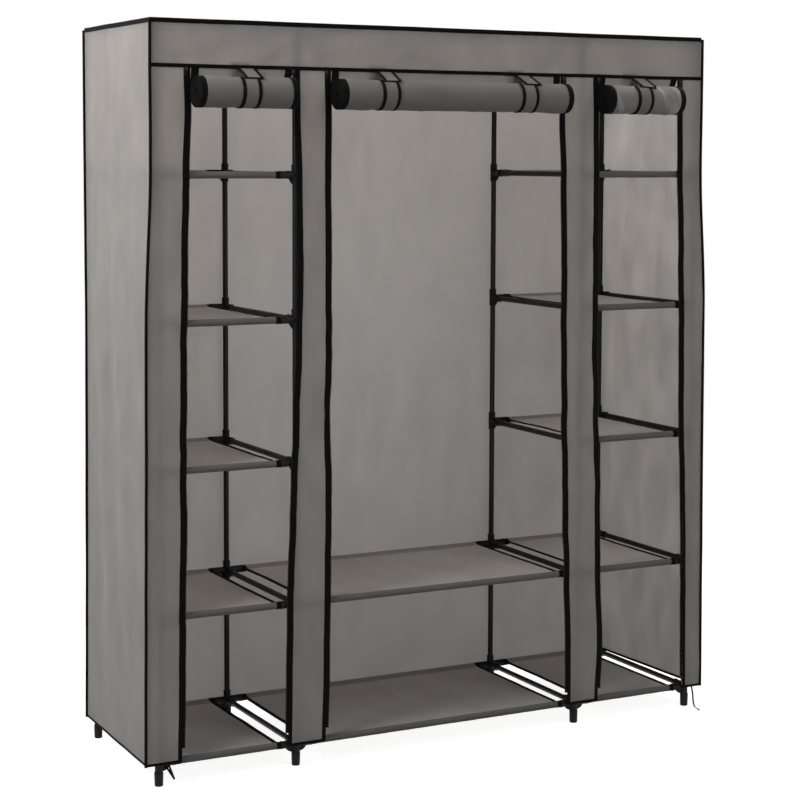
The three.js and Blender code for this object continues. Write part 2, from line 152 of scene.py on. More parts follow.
floor_paper = finish("floor_paper", roughness=0.9, Base_Color=(paper_grey, paper_grey, paper_grey, 1))
paper = floor_paper.node_tree.nodes["Principled BSDF"].outputs[0]
paper_lift = add(floor_paper, "ShaderNodeEmission", {"Strength": paper_glow})
lifted = add(floor_paper, "ShaderNodeAddShader", {0: paper, 1: paper_lift})
show(floor_paper, lifted, paper, "Material Output")
floor_mesh = bmesh.new()
bmesh.ops.create_grid(floor_mesh, x_segments=1, y_segments=1, size=floor_reach)
floor_data = bpy.data.meshes.new("floor")
floor_mesh.to_mesh(floor_data)
floor_mesh.free()
floor_data.materials.append(floor_paper)
floor = bpy.data.objects.new("floor", floor_data)
scene.collection.objects.link(floor)

# Ties: narrow black woven tapes, sewn into the hem at the front corners to tie the cover to the
# legs. At the left two short strands meet in a knot, at the right one lies down to the floor.
front_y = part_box("cover_valance")[0].y
hem_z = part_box("cover_side_left")[0].z
half_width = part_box("cover_top")[1].x
left_tie_width = 0.0048
right_tie_width = 0.0052
tie_wall = 0.0018
tie_rib = 0.0011
tie_inset = 0.0015
knot_radius = 0.0027
bead_radius = 0.0026
knot_lumps = 0.12
tie_top = hem_z - 0.0003
tie_y = front_y + tie_inset
# How far apart the waves of the wave texture are at a scale of 1.
wave_period = 0.314
tape_black = (0.0042, 0.0042, 0.0042)


def mottle(material, vector, scale, detail, roughness=0.5, distortion=0.0):
    """Cloudy noise, from 0 to 1, on a surface."""
    sockets = {"Vector": vector, "Scale": scale, "Detail": detail, "Roughness": roughness}
    return add(material, "ShaderNodeTexNoise", {**sockets, "Distortion": distortion}, "Fac")


def ranged(material, value, low, high, start=0.3, end=0.7):
    """A value of a texture brought from start..end to low..high."""
    sockets = {"Value": value, "From Min": start, "From Max": end, "To Min": low, "To Max": high}
    return add(material, "ShaderNodeMapRange", sockets)


def tinted(material, colour, shades):
    """One colour, made lighter and darker by the product of the shades."""
    share = shades[0]
    for shade in shades[1:]:
        share = add(material, "ShaderNodeMath", {0: share, 1: shade}, operation="MULTIPLY")
    return add(material, "ShaderNodeVectorMath", {0: colour, "Scale": share}, operation="SCALE")


def coloured(material, colour, shades):
    """Feeds the base colour with one colour and its shades."""
    feed(material, tinted(material, colour, shades), "Principled BSDF", "Base Color")


def bumped(material, layers, below=None):
    """Stacks bumps of (height, strength, distance) on the surface."""
    for height, strength, distance in layers:
        sockets = {"Height": height, "Strength": strength, "Distance": distance}
        if below:
            sockets["Normal"] = below
        below = add(material, "ShaderNodeBump", sockets)
    feed(material, below, "Principled BSDF", "Normal")


def tape_finish(name, colour, rib, turn=0):
    """Black woven tape or cord: fine ribs that run across its length, and a little dust."""
    material = finish(name, 0.8, Sheen_Weight=0.015, Sheen_Roughness=0.5, Specular_IOR_Level=0.05)
    flat = add(material, "ShaderNodeTexCoord", output="UV")
    turned = add(material, "ShaderNodeMapping", {"Vector": flat, "Rotation": (0, 0, turn)})
    waves = {"Vector": turned, "Scale": wave_period / rib, "Distortion": 0.6, "Detail": 1.0}
    ribs = add(material, "ShaderNodeTexWave", waves, "Fac", bands_direction="Y")
    lint = mottle(material, flat, 900.0, 3.0)
    fade = mottle(material, flat, 30.0, 2.0)
    coloured(material, colour, [ranged(material, lint, 0.8, 1.35), ranged(material, fade, 0.85, 1.2)])
    bumped(material, [(ribs, 0.7, 0.0003), (lint, 0.3, 0.0002)])
    return material


def patch(width, length, columns, rows, place):
    """A grid whose points are moved by place(across, along), both from 0 to 1, with its flat size
    kept as a UV map in metres."""
    made = bmesh.new()
    flat = made.loops.layers.uv.new("UVMap")
    bmesh.ops.create_grid(made, x_segments=columns, y_segments=rows, size=0.5)
    for face in made.faces:
        for loop in face.loops:
            at = loop.vert.co
            loop[flat].uv = ((at.x + 0.5) * width, (at.y + 0.5) * length)
    for vert in made.verts:
        vert.co = place(vert.co.x + 0.5, vert.co.y + 0.5)
    return made


def run_of(points):
    """The length of a line of points."""
    return sum((b - a).length for a, b in zip(points, points[1:]))


def heading(points, i):
    """The direction of a line of points at one of them."""
    return (points[min(i + 1, len(points) - 1)] - points[max(i - 1, 0)]).normalized()


def wrap(route, section):
    """A closed band: a section of (across, lift) corners carried along a route of (centre, across,
    lift) stations, with its open ends filled."""
    corners = len(section)
    last = len(route) - 1
    girth = sum((Vector(section[i]) - Vector(section[i - 1])).length for i in range(corners))

    def place(around, along):
        centre, across, lift = route[round(along * last)]
        sideways, upwards = section[round(around * corners) % corners]
        return centre + across * sideways + lift * upwards

    made = patch(girth, run_of([station[0] for station in route]), corners, last, place)
    bmesh.ops.remove_doubles(made, verts=made.verts, dist=1e-6)
    rims = [edge for edge in made.edges if edge.is_boundary]
    bmesh.ops.holes_fill(made, edges=rims, sides=corners)
    return made


def piece(name, made, material, slot, replaced=None, body="root", cloth=0.0, crisp=35):
    """Turns a bmesh into a finished piece that rides on its body, with a wall if it is cloth."""
    bmesh.ops.remove_doubles(made, verts=made.verts, dist=1e-6)
    bmesh.ops.recalc_face_normals(made, faces=made.faces)
    mesh = bpy.data.meshes.new(name)
    made.to_mesh(mesh)
    made.free()
    mesh.shade_smooth()
    mesh.set_sharp_from_angle(angle=math.radians(crisp))
    mesh.materials.append(material)
    shown = bpy.data.objects.new(name, mesh)
    scene.collection.objects.link(shown)
    if cloth:
        wall = shown.modifiers.new("wall", "SOLIDIFY")
        wall.thickness = cloth
        wall.offset = 0
    if body:
        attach(shown, body)
    if replaced:
        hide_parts(replaced)
    return shown


def smooth_route(points, steps):
    """A curve through the points, with so many steps between each two."""
    ends = [points[0] * 2 - points[1], *points, points[-1] * 2 - points[-2]]
    route = []
    for before, start, end, after in zip(ends, ends[1:], ends[2:], ends[3:]):
        for step in range(steps):
            t = step / steps
            point = start * 2 + (end - before) * t
            point += (before * 2 - start * 5 + end * 4 - after) * t * t
            point += (start * 3 - before - end * 3 + after) * t * t * t
            route.append(0.5 * point)
    return [*route, points[-1]]


def round_section(radius, sides):
    """The corners of a round section."""
    turns = [2 * math.pi * i / sides for i in range(sides)]
    return [(radius * math.cos(turn), radius * math.sin(turn)) for turn in turns]


def cord_stations(points):
    """The stations of a cord, turned as little as its bends allow."""
    across = Vector((0, 1, 0))
    stations = []
    for i, point in enumerate(points):
        ahead = heading(points, i)
        across = (across - ahead * across.dot(ahead)).normalized()
        stations.append((point, across, ahead.cross(across)))
    return stations


tie_tape = tape_finish("tie_tape", tape_black, tie_rib, turn=math.radians(35))


def tie(name, points, width, replaced, end_name=None, end_radius=knot_radius):
    """A flat cord along these points, with the knot or bead that ends it."""
    route = smooth_route([Vector(point) for point in points], 6)
    section = [(x * tie_wall / width, y) for x, y in round_section(width / 2, 12)]
    cord = piece(name, wrap(cord_stations(route), section), tie_tape, "black_tape", replaced)
    ends = []
    if end_name:
        ball = bmesh.new()
        bmesh.ops.create_icosphere(ball, subdivisions=3, radius=end_radius)
        for vert in ball.verts:
            lump = knot_lumps * noise.noise(vert.co * (2 / end_radius))
            vert.co = vert.co * (1 + lump) + route[-1]
        ends = [piece(end_name, ball, tie_tape, "black_tape")]
    round(run_of(route), 4)


left_tip_x = -half_width + 0.046
for strand, start_x, strand_knot in ((1, -0.724, "tie_left_knot"), (2, -0.716, None)):
    left_points = [
        (start_x, tie_y, tie_top),
        (start_x, tie_y, tie_top - 0.004),
        ((start_x + left_tip_x) / 2, tie_y, 0.032),
        (left_tip_x, tie_y, 0.016),
    ]
    tie(f"tie_left_strand_{strand}", left_points, left_tie_width, "tie_front_left", strand_knot)

right_points = [
    (half_width + 0.003, tie_y, tie_top),
    (half_width + 0.003, tie_y, tie_top - 0.004),
    (half_width + 0.004, tie_y - 0.003, 0.034),
    (half_width + 0.002, tie_y - 0.009, 0.014),
    (half_width - 0.001, tie_y - 0.018, 0.0045),
    (half_width - 0.005, tie_y - 0.032, 0.0028),
    (half_width - 0.008, tie_y - 0.048, 0.0028),
]
tie("tie_right_cord", right_points, right_tie_width, "tie_front_right", "tie_right_bead", bead_radius)

# Posts: thin steel tubes, powder coated black with a fine orange peel. Each post is five lengths,
# and each length plugs into the moulded connectors above and below it.
top_bar_low, top_bar_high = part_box("top_bar_front_left")
tube_radius = (top_bar_high.z - top_bar_low.z) / 2
tube_ease = 0.0006
plug_depth = 0.018
sleeve_below = 0.021
sleeve_above = 0.024
sleeve_gap = 0.0005
top_tube_gap = 0.004
shelf_under = 0.0082
# The heights of the shelf bars, from the lowest up, and then of the top bars.
top_bar_z = top_bar_low.z + tube_radius
levels = [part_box(f"shelf_left_{n}")[0].z + shelf_under for n in range(1, 6)] + [top_bar_z]
top_level = len(levels) - 1
sides = ("left", "left_divider", "right_divider", "right")
centre_of = {n: (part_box(n)[0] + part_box(n)[1]) / 2 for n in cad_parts}
post_x = {side: centre_of[f"foot_front_{side}"].x for side in sides}
post_y = {face: centre_of[f"foot_{face}_left"].y for face in ("front", "back")}
posts = [(side, face, post_x[side], y) for side in sides for face, y in post_y.items()]
steel_black = (0.006, 0.006, 0.0063)


def rigid_finish(name, colour, roughness, grain, depth, **plain):
    """Powder coat or moulded plastic: an even colour, with a fine grain and soft handling marks."""
    material = finish(name, roughness, **plain)
    place = add(material, "ShaderNodeTexCoord", output="Object")
    peel = mottle(material, place, grain, 3.0)
    marks = mottle(material, place, 22.0, 4.0)
    coloured(material, colour, [ranged(material, peel, 0.92, 1.1), ranged(material, marks, 0.85, 1.2)])
    worn = ranged(material, marks, roughness - 0.06, roughness + 0.1)
    feed(material, worn, "Principled BSDF", "Roughness")
    bumped(material, [(peel, 0.35, depth), (marks, 0.15, depth * 3)])
    return material


def collar(start, end, radius, ease):
    """The profile of a round collar with eased rims, as (distance, radius) pairs."""
    return [(start, radius - ease), (start + ease, radius), (end - ease, radius), (end, radius - ease)]


def turn_about(made, profile, foot, along, steps=24):
    """Turns a profile of (distance, radius) pairs about the line from foot in direction along."""
    foot, along = Vector(foot), Vector(along)
    side = along.orthogonal().normalized()
    points = [made.verts.new(foot + along * d + side * r) for d, r in profile]
    line = points + [made.edges.new(pair) for pair in zip(points, points[1:])]
    circle = 2 * math.pi
    bmesh.ops.spin(made, geom=line, cent=foot, axis=along, angle=circle, steps=steps, use_merge=True)


def tube(name, foot, along, length, replaced):
    """A coated tube with eased ends."""
    made = bmesh.new()
    turn_about(made, [(0, 0), *collar(0, length, tube_radius, tube_ease), (length, 0)], foot, along)
    return piece(name, made, coated_steel, "frame_steel", replaced)


coated_steel = rigid_finish(
    "coated_steel",
    steel_black,
    roughness=0.38,
    grain=900.0,
    depth=0.00006,
    Specular_IOR_Level=0.2,
    Coat_Weight=0.04,
    Coat_Roughness=0.25,
)
for side, face, x, y in posts:
    for n in range(top_level):
        low = levels[n] + sleeve_above + sleeve_gap - plug_depth
        high = levels[n + 1] - sleeve_below - sleeve_gap + plug_depth
        if n + 1 == top_level:
            high = top_bar_z - top_tube_gap
        name = f"post_tube_{face}_{side}_{n + 1}"
        tube(name, (x, y, low), (0, 0, 1), high - low, f"side_frame_{side}")

# Depth tubes: the same coated tube, one at each level between the front and the back post, which
# holds the two posts of a side frame apart.
socket_reach = 0.04
depth_from = post_y["front"] + socket_reach - plug_depth
depth_length = post_y["back"] - socket_reach + plug_depth - depth_from
for side in sides:
    for n, level in enumerate(levels):
        foot = (post_x[side], depth_from, level)
        tube(f"depth_tube_{side}_{n + 1}", foot, (0, 1, 0), depth_length, f"side_frame_{side}")

# Connectors: black moulded sockets for the tubes, with a raised rim round each mouth and a curved
# web under each side socket. The bottom ones take the feet, and the top ones are capped.
rim_radius = 0.0097
shell_radius = 0.009
rim_height = 0.0026
rim_ease = 0.0007
bore_radius = tube_radius + 0.0003
mouth_depth = 0.005
root_taper = 0.97
cap_height = sleeve_below + 0.0094
cap_ease = 0.001
cap_round = 0.003
web_reach = 0.007
foot_web_reach = 0.018
web_thickness = 0.003
web_inside = 0.005
web_foot_gap = 0.001
web_steps = 8
# The levels at which the middle bay has bars.
middle_levels = (0, 1, top_level)
plastic_black = (0.0055, 0.0055, 0.0058)
moulded_plastic = rigid_finish(
    "moulded_plastic",
    plastic_black,
    roughness=0.5,
    grain=1500.0,
    depth=0.00005,
    Specular_IOR_Level=0.16,
)


def socket_profile(length, open_foot=False):
    """A socket from its closed root, or its rimmed foot, to its rimmed mouth."""
    root = collar(0, rim_height, rim_radius, rim_ease) if open_foot else [(0, shell_radius * root_taper)]
    mouth = collar(length - rim_height, length, rim_radius, rim_ease)
    floor_at = length - mouth_depth
    return [(0, 0), *root, *mouth, (length, bore_radius), (floor_at, bore_radius), (floor_at, 0)]


def web(made, centre, outward, reach):
    """The quarter oval rib in the corner under a socket."""
    outward = Vector(outward)
    across = outward.cross(Vector((0, 0, 1)))
    wide = shell_radius + reach - web_inside
    tall = sleeve_below - web_foot_gap - web_inside
    rim = [Vector(centre) + outward * web_inside - Vector((0, 0, web_inside))]
    for step in range(web_steps + 1):
        turn = math.pi / 2 * step / web_steps
        rim.append(rim[0] + outward * wide * math.cos(turn) - Vector((0, 0, tall * math.sin(turn))))
    face = made.faces.new([made.verts.new(point - across * web_thickness / 2) for point in rim])
    grown = bmesh.ops.extrude_face_region(made, geom=[face])["geom"]
    moved = [item for item in grown if isinstance(item, bmesh.types.BMVert)]
    bmesh.ops.translate(made, verts=moved, vec=across * web_thickness)


cap_profile = [
    (0, 0),
    *collar(0, rim_height + rim_ease, rim_radius, rim_ease),
    (cap_height - cap_round, shell_radius),
    (cap_height - cap_ease, shell_radius - cap_ease),
    (cap_height, shell_radius - cap_round),
    (cap_height, 0),
]
sleeve_profile = socket_profile(sleeve_below + sleeve_above, open_foot=True)
for side, face, x, y in posts:
    for n, level in enumerate(levels):
        made = bmesh.new()
        upright_profile = cap_profile if n == top_level else sleeve_profile
        turn_about(made, upright_profile, (x, y, level - sleeve_below), (0, 0, 1))
        outlets = [(0, 1 if face == "front" else -1, 0)]
        if side != "left" and (side != "right_divider" or n in middle_levels):
            outlets.append((-1, 0, 0))
        if side != "right" and (side != "left_divider" or n in middle_levels):
            outlets.append((1, 0, 0))
        for outlet in outlets:
            turn_about(made, socket_profile(socket_reach), (x, y, level), outlet)
            web(made, (x, y, level), outlet, web_reach if n else foot_web_reach)
        name = f"connector_{face}_{side}_{n + 1}"
        piece(name, made, moulded_plastic, "black_plastic", f"side_frame_{side}")

# Feet: tapered plastic caps that plug into the bottom connectors, with a rounded lower edge and a
# slim spigot inside the connector.
foot_gap = 0.0003
foot_height = levels[0] - sleeve_below - foot_gap
foot_radius = 0.0106
foot_toe = 0.0099
foot_round = 0.002
foot_collar = 0.004
foot_ease = 0.0005
spigot_radius = 0.0036
spigot_tip = 0.0034
spigot_reach = 0.012
spigot_end = foot_height + spigot_reach
toe_steps = 4
toe_turns = [math.pi / 2 * step / toe_steps for step in range(toe_steps + 1)]
toe = [(foot_round * (1 - math.cos(a)), foot_toe - foot_round * (1 - math.sin(a))) for a in toe_turns]
foot_profile = [
    (0, 0),
    *toe,
    (foot_height - foot_collar, foot_radius),
    (foot_height - foot_ease, foot_radius),
    (foot_height, foot_radius - foot_ease),
    (foot_height, spigot_radius),
    (spigot_end, spigot_tip),
    (spigot_end, 0),
]
for side, face, x, y in posts:
    made = bmesh.new()
    turn_about(made, foot_profile, (x, y, 0), (0, 0, 1), steps=32)
    piece(f"foot_cap_{face}_{side}", made, moulded_plastic, "black_plastic", f"foot_{face}_{side}")

# Shelf bars, top bars and the hanging rod: coated tubes that plug into the side sockets. The shelf
# bars are hidden in the sewn sleeves of the shelves.
bays = {
    "left": (post_x["left"], post_x["left_divider"], 5),
    "middle": (post_x["left_divider"], post_x["right_divider"], 2),
    "right": (post_x["right_divider"], post_x["right"], 5),
}
for bay, (start_x, end_x, shelf_count) in bays.items():
    bar_from = start_x + socket_reach - plug_depth
    bar_length = end_x - start_x - 2 * (socket_reach - plug_depth)
    for face, y in post_y.items():
        for n in range(shelf_count):
            foot = (bar_from, y, levels[n])
            tube(f"shelf_bar_{face}_{bay}_{n + 1}", foot, (1, 0, 0), bar_length, f"shelf_{bay}_{n + 1}")
        foot = (bar_from, y, top_bar_z)
        tube(f"top_tube_{face}_{bay}", foot, (1, 0, 0), bar_length, f"top_bar_{face}_{bay}")

rod_low, rod_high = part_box("hanging_rod")
rod_y = (rod_low.y + rod_high.y) / 2
rod_z = (rod_low.z + rod_high.z) / 2
tube("hanging_tube", (rod_low.x, rod_y, rod_z), (1, 0, 0), rod_high.x - rod_low.x, "hanging_rod")

# Rod holders: moulded hangers that clip round the dividers' top depth tubes, each with a socket
# for one end of the hanging rod.
holder_length = 0.024
holder_reach = 0.03
plate_inset = 0.008
plate_size = (0.008, 0.012, top_bar_z - rod_z - 2 * plate_inset)
plate_ease = 0.001
ring = [
    (0, bore_radius),
    *collar(0, holder_length, rim_radius, rim_ease),
    (holder_length, bore_radius),
    (0, bore_radius),
]


def eased_block(made, centre, size, ease, nose=1.0):
    """A block with eased edges, whose lower end is narrowed to a share of its width."""
    place = Matrix.LocRotScale(Vector(centre), None, Vector(size))
    corners = bmesh.ops.create_cube(made, size=1, matrix=place)["verts"]
    for vert in corners:
        if vert.co.z < centre[2]:
            vert.co.x = centre[0] + (vert.co.x - centre[0]) * nose
    edges = list(dict.fromkeys(edge for vert in corners for edge in vert.link_edges))
    bmesh.ops.bevel(made, geom=edges, offset=ease, affect="EDGES", segments=2, profile=0.5, material=-1)


for side, inward in (("left", 1), ("right", -1)):
    x = post_x[f"{side}_divider"]
    made = bmesh.new()
    turn_about(made, ring, (x, rod_y - holder_length / 2, top_bar_z), (0, 1, 0))
    eased_block(made, (x, rod_y, (top_bar_z + rod_z) / 2), plate_size, plate_ease)
    root = (x - inward * shell_radius, rod_y, rod_z)
    turn_about(made, socket_profile(holder_reach + shell_radius), root, (inward, 0, 0))
    piece(f"rod_hanger_{side}", made, moulded_plastic, "black_plastic", f"rod_holder_{side}")

# Shelves: one piece of grey spot-bonded cloth each, sewn round its front and back bar, so that it
# dips behind them and sags a little between. Black tape binds its two open side edges.
sleeve_radius = 0.0078
sleeve_seam = 0.02
sleeve_under = 0.0016
sleeve_turn = 215
front_turn = -55
back_turn = 90
sleeve_steps = 14
seam_ridge = 0.0005
seam_ridge_width = 0.0025
shelf_dip = 0.0052
dip_run = 0.017
shelf_sag = 0.0026
shelf_ripple = 0.0016
shelf_pucker = 0.0007
shelf_pull = 0.0004
shelf_end_sag = 0.15
shelf_wall = 0.0008
shelf_gap = 0.0004
shelf_steps = 40
binding_lap = 0.0001
binding_width = 0.0115
binding_wall = 0.0011
edge_rib = 0.0013
spot_pitch = 0.0015
wrinkle_depth = 0.0012
# The shelf cloth is set lighter than the cover's: painted light on the shelf tops.
shelf_grey_with_painted_light = (0.32, 0.307, 0.296)
shelf_glow_with_painted_light = (0.46, 0.443, 0.426)
# How dark the painted shade makes the cloth over its bars, and the rows of its mesh at which that begins
# and ends.
front_bar_painted_shade = 0.48
back_bar_painted_shade = 0.84
front_bar_rows = (15.4, 15.9)
back_bar_rows = (52.6, 53.0)


def cloth_finish(name, colour, glow=None, streak=0.1, bars=()):
    """Spot-bonded cloth: rows of pressed dots, matted fibres, cloudy shade and small wrinkles. Thin
    cloth also glows with the light behind it, which each face passes on in the glow's colour, with
    soft upright streaks where it is denser. Bars are the stretches of its length, each a start, an
    end and the shades there, where painted shade darkens the cloth and its glow over a black bar."""
    material = finish(name, 0.86, Sheen_Weight=0.05, Sheen_Roughness=0.5, Specular_IOR_Level=0.15)
    flat = add(material, "ShaderNodeTexCoord", output="UV")
    slanted = add(material, "ShaderNodeMapping", {"Vector": flat, "Rotation": (0, 0, math.pi / 4)})
    spots = {"Vector": slanted, "Scale": 1 / spot_pitch, "Randomness": 0.12}
    dots = add(material, "ShaderNodeTexVoronoi", spots, "Distance", voronoi_dimensions="2D")
    fibres = mottle(material, flat, 650.0, 4.0, roughness=0.65, distortion=1.5)
    clouds = mottle(material, flat, 9.0, 3.0)
    creases = mottle(material, flat, 34.0, 4.0, roughness=0.55, distortion=0.8)
    along = add(material, "ShaderNodeSeparateXYZ", {"Vector": flat}, "Y")
    # Painted shade over the bars: it darkens both the colour and the glow.
    painted_bar_shade = [ranged(material, along, low, high, start, end) for start, end, low, high in bars]
    shades = [
        ranged(material, dots, 0.9, 1.03, 0.1, 0.5),
        ranged(material, fibres, 0.93, 1.07),
        ranged(material, clouds, 0.94, 1.06),
    ]
    coloured(material, colour, shades + painted_bar_shade)
    bumped(material, [(creases, 0.5, wrinkle_depth), (dots, 0.45, 0.00025), (fibres, 0.3, 0.00015)])
    if glow:
        upwards = {"Vector": flat, "Scale": (1, 0.4, 1), "Rotation": (0, 0, 0.2)}
        drawn = add(material, "ShaderNodeMapping", upwards)
        density = mottle(material, drawn, 17.0, 2.0, roughness=0.4, distortion=0.4)
        streaks = [ranged(material, density, 1 - streak, 1 + streak)]
        behind = {"Color": tinted(material, glow, streaks + painted_bar_shade)}
        passed = add(material, "ShaderNodeBsdfTranslucent", behind)
        surface = material.node_tree.nodes["Principled BSDF"].outputs[0]
        both = add(material, "ShaderNodeAddShader", {0: surface, 1: passed})
        feed(material, both, "Material Output", "Surface")
    return material


def sheet(name, made, material, replaced, flat, held, rests_on, slot="cover_cloth", **more):
    """A piece of cloth. The width and the length that it was cut to are not used."""
    shown = piece(name, made, material, slot, replaced, **more)
    return shown


def wavy(*place):
    """Smooth noise at a place, about -1 to 1."""
    return noise.noise(Vector(place))


def swelling(share):
    """0 at both ends, and 1 half way."""
    return math.sin(math.pi * share)


def flat_section(near, far, wall):
    """A flat tape's section from near to far, with eased corners."""
    ease = min(wall, far - near) * 0.3
    half = wall / 2
    lower = [(near + ease, -half), (far - ease, -half), (far, ease - half)]
    upper = [(far, half - ease), (far - ease, half), (near + ease, half), (near, half - ease)]
    return [*lower, *upper, (near, ease - half)]


def sleeve(y, level, start):
    """The sewn round of cloth about a bar, turned back from a start in degrees."""
    steps = range(sleeve_steps + 1)
    turns = [math.radians(start - sleeve_turn * step / sleeve_steps) for step in steps]
    return [(y + sleeve_radius * math.cos(a), level + sleeve_radius * math.sin(a), 0) for a in turns]


def shelf_profile(level):
    """Points (y, z, looseness) across a shelf, from the seam under its front sleeve to the back's."""
    front, back = post_y["front"], post_y["back"]
    top = level + sleeve_radius
    under = top - shelf_dip - sleeve_under
    points = [(front + sleeve_seam, under, 0), *sleeve(front, level, front_turn)]
    for step in range(1, shelf_steps):
        share = step / shelf_steps
        in_from = (back - front) * min(share, 1 - share)
        dip = shelf_dip * math.sin(math.pi / 2 * min(in_from / dip_run, 1)) ** 2
        dip += seam_ridge * math.exp(-(((in_from - sleeve_seam) / seam_ridge_width) ** 2))
        points.append((front + (back - front) * share, top - dip, swelling(share)))
    return [*points, *sleeve(back, level, back_turn), (back - sleeve_seam, under, 0)]


def girth_of(profile):
    """The length of cloth that a shelf's profile takes."""
    return sum(math.dist(a[:2], b[:2]) for a, b in zip(profile, profile[1:]))


shelf_row = girth_of(shelf_profile(levels[0])) / (len(shelf_profile(levels[0])) - 1)
# The painted shade over the front and back bars of each shelf.
shelf_painted_bar_shade_bands = (
    (front_bar_rows[0] * shelf_row, front_bar_rows[1] * shelf_row, front_bar_painted_shade, 1),
    (back_bar_rows[0] * shelf_row, back_bar_rows[1] * shelf_row, 1, back_bar_painted_shade),
)
shelf_cloth = cloth_finish("shelf_cloth", shelf_grey_with_painted_light, shelf_glow_with_painted_light, streak=0.05, bars=shelf_painted_bar_shade_bands)
edge_tape = tape_finish("edge_tape", tape_black, edge_rib)


def tape_piece(name, made, replaced=None):
    """A piece of black tape."""
    return piece(name, made, edge_tape, "black_tape", replaced)


def tape_band(name, stations, near, far, wall, replaced=None):
    """A flat black tape along these stations, from near to far across them."""
    return tape_piece(name, wrap(stations, flat_section(near, far, wall)), replaced)


for bay, (start_x, end_x, shelf_count) in bays.items():
    cloth_from = start_x + socket_reach + shelf_gap
    cloth_to = end_x - socket_reach - shelf_gap
    for n in range(shelf_count):
        profile = shelf_profile(levels[n])
        rows = len(profile) - 1
        seed = n * 3.7 + start_x * 11

        def shelf_point(across, along):
            """The surface of this shelf's cloth."""
            y, z, loose = profile[round(along * rows)]
            x = cloth_from + (cloth_to - cloth_from) * across
            share = shelf_end_sag + (1 - shelf_end_sag) * swelling(across)
            ripple = shelf_ripple * wavy(x * 7, y * 9, seed)
            ripple += shelf_pucker * wavy(x * 26, y * 14, seed + 5)
            pull = shelf_pull * wavy(x * 40, along * 30, seed + 9)
            return Vector((x, y, z - shelf_sag * loose * share + ripple * loose + pull))

        node = f"shelf_{bay}_{n + 1}"
        flat = (cloth_to - cloth_from, girth_of(profile))
        made = patch(*flat, 72 if bay == "middle" else 32, rows, shelf_point)
        bars = [f"shelf_bar_{face}_{bay}_{n + 1}" for face in post_y]
        name = f"shelf_cloth_{bay}_{n + 1}"
        sheet(name, made, shelf_cloth, node, flat, "stretched", bars, "shelf_cloth", cloth=shelf_wall)
        for end, at, inward in (("left", 0, 1), ("right", 1, -1)):
            rim = [shelf_point(at, i / rows) for i in range(rows + 1)]
            across = Vector((inward, 0, 0))
            lifts = [heading(rim, i).cross(Vector((-1, 0, 0))) for i in range(rows + 1)]
            stations = [(point, across, lift) for point, lift in zip(rim, lifts)]
            name = f"shelf_binding_{bay}_{n + 1}_{end}"
            tape_band(name, stations, -binding_lap, binding_width, shelf_wall + binding_wall, node)

# Cover sides: grey spot-bonded cloth that hangs from the top seam over the frame. It is thin enough
# to glow a little, spreads towards the hem, and keeps soft slanting folds.
top_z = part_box("cover_top")[1].z
seam_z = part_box("cover_valance")[0].z
back_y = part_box("cover_top")[1].y
depth = back_y - front_y
top_tuck = 0.002
cover_wall = 0.0009
flare_top = 1.43
flare_drop = 0.36
flare_side = {-1: 0.0125, 1: 0.0155}
flare_low = 0.009
flare_low_top = 1.1
side_fold = 0.007
side_fold_count = 3
side_crease = 0.0048
fold_slant = 1.4
fold_run = 0.48
top_hold = 0.1
hem_settle = 0.26
hem_hold = 0.12
cover_grey = (0.223, 0.215, 0.208)
cover_glow = (0.51, 0.495, 0.482)
cover_cloth = cloth_finish("cover_cloth", cover_grey, cover_glow, streak=0.08)


def panel(name, replaced, flat, columns, rows, place, held, rests_on, material=cover_cloth):
    """One cut panel of the cover, from the function that gives its surface."""
    made = patch(*flat, columns, rows, place)
    sheet(name, made, material, replaced, flat, held, rests_on, cloth=cover_wall)


def eased(share):
    """0 below 0, 1 above 1, and a smooth rise between."""
    share = min(max(share, 0), 1)
    return share * share * (3 - 2 * share)


def spread(sign, z, backwards=0.0):
    """How far the loose cover stands out past its top size at a height, on its left (-1) or right
    (1), from its front to its back, where it hangs straighter."""
    low = min(max((flare_low_top - z) / (flare_low_top - hem_z), 0), 1)
    front = flare_side[sign] * eased((flare_top - z) / flare_drop) + flare_low * low
    return front + (flare_low * low**1.5 - front) * backwards


def fold(count, along, up):
    """The main folds of a hanging panel, from 0 to 1, which die out at its side seams."""
    return swelling(along) * (0.5 - 0.5 * math.cos(2 * math.pi * (count * along + fold_slant * up)))


def rumple(a, b, seed, slant=0.35):
    """Small creases of hanging cloth, mostly upright and a little slanted, about -1 to 1."""
    ridge = 1 - 2.4 * abs(wavy((a + slant * b) * 9, b * 3.1, seed + 7))
    fine = wavy((a - slant * b) * 34, b * 7, seed + 13)
    return 0.5 * wavy((a + slant * b) * 13, b * 2.6, seed) + 0.28 * ridge + 0.22 * fine


def side_shape(sign):
    """The surface of a side panel: a function of (along, up), from corner seam to corner seam."""

    def place(along, up):
        z = hem_z + (top_z - top_tuck - hem_z) * up
        y = (front_y + back_y) / 2 + sign * depth / 2 * (2 * along - 1)
        share = eased((seam_z - z) / fold_run)
        held = hem_hold + (1 - hem_hold) * eased((z - hem_z) / hem_settle)
        bulge = side_fold * fold(side_fold_count, along, up) * share * held
        crease = side_crease * rumple(y, z, 3 + sign) * (0.25 + 0.75 * share)
        bulge += crease * swelling(along) ** 0.7 * eased((top_z - z) / top_hold) * held
        out = half_width - cover_wall / 2 + spread(sign, z, (y - front_y) / depth) + bulge
        return Vector((sign * out, y, z))

    return place


for side, sign in (("left", -1), ("right", 1)):
    tubes = [f"top_tube_front_{side}", f"top_tube_back_{side}"]
    flat = (depth, top_z - hem_z)
    panel(f"cover_panel_{side}", f"cover_side_{side}", flat, 64, 200, side_shape(sign), "hung", tubes)

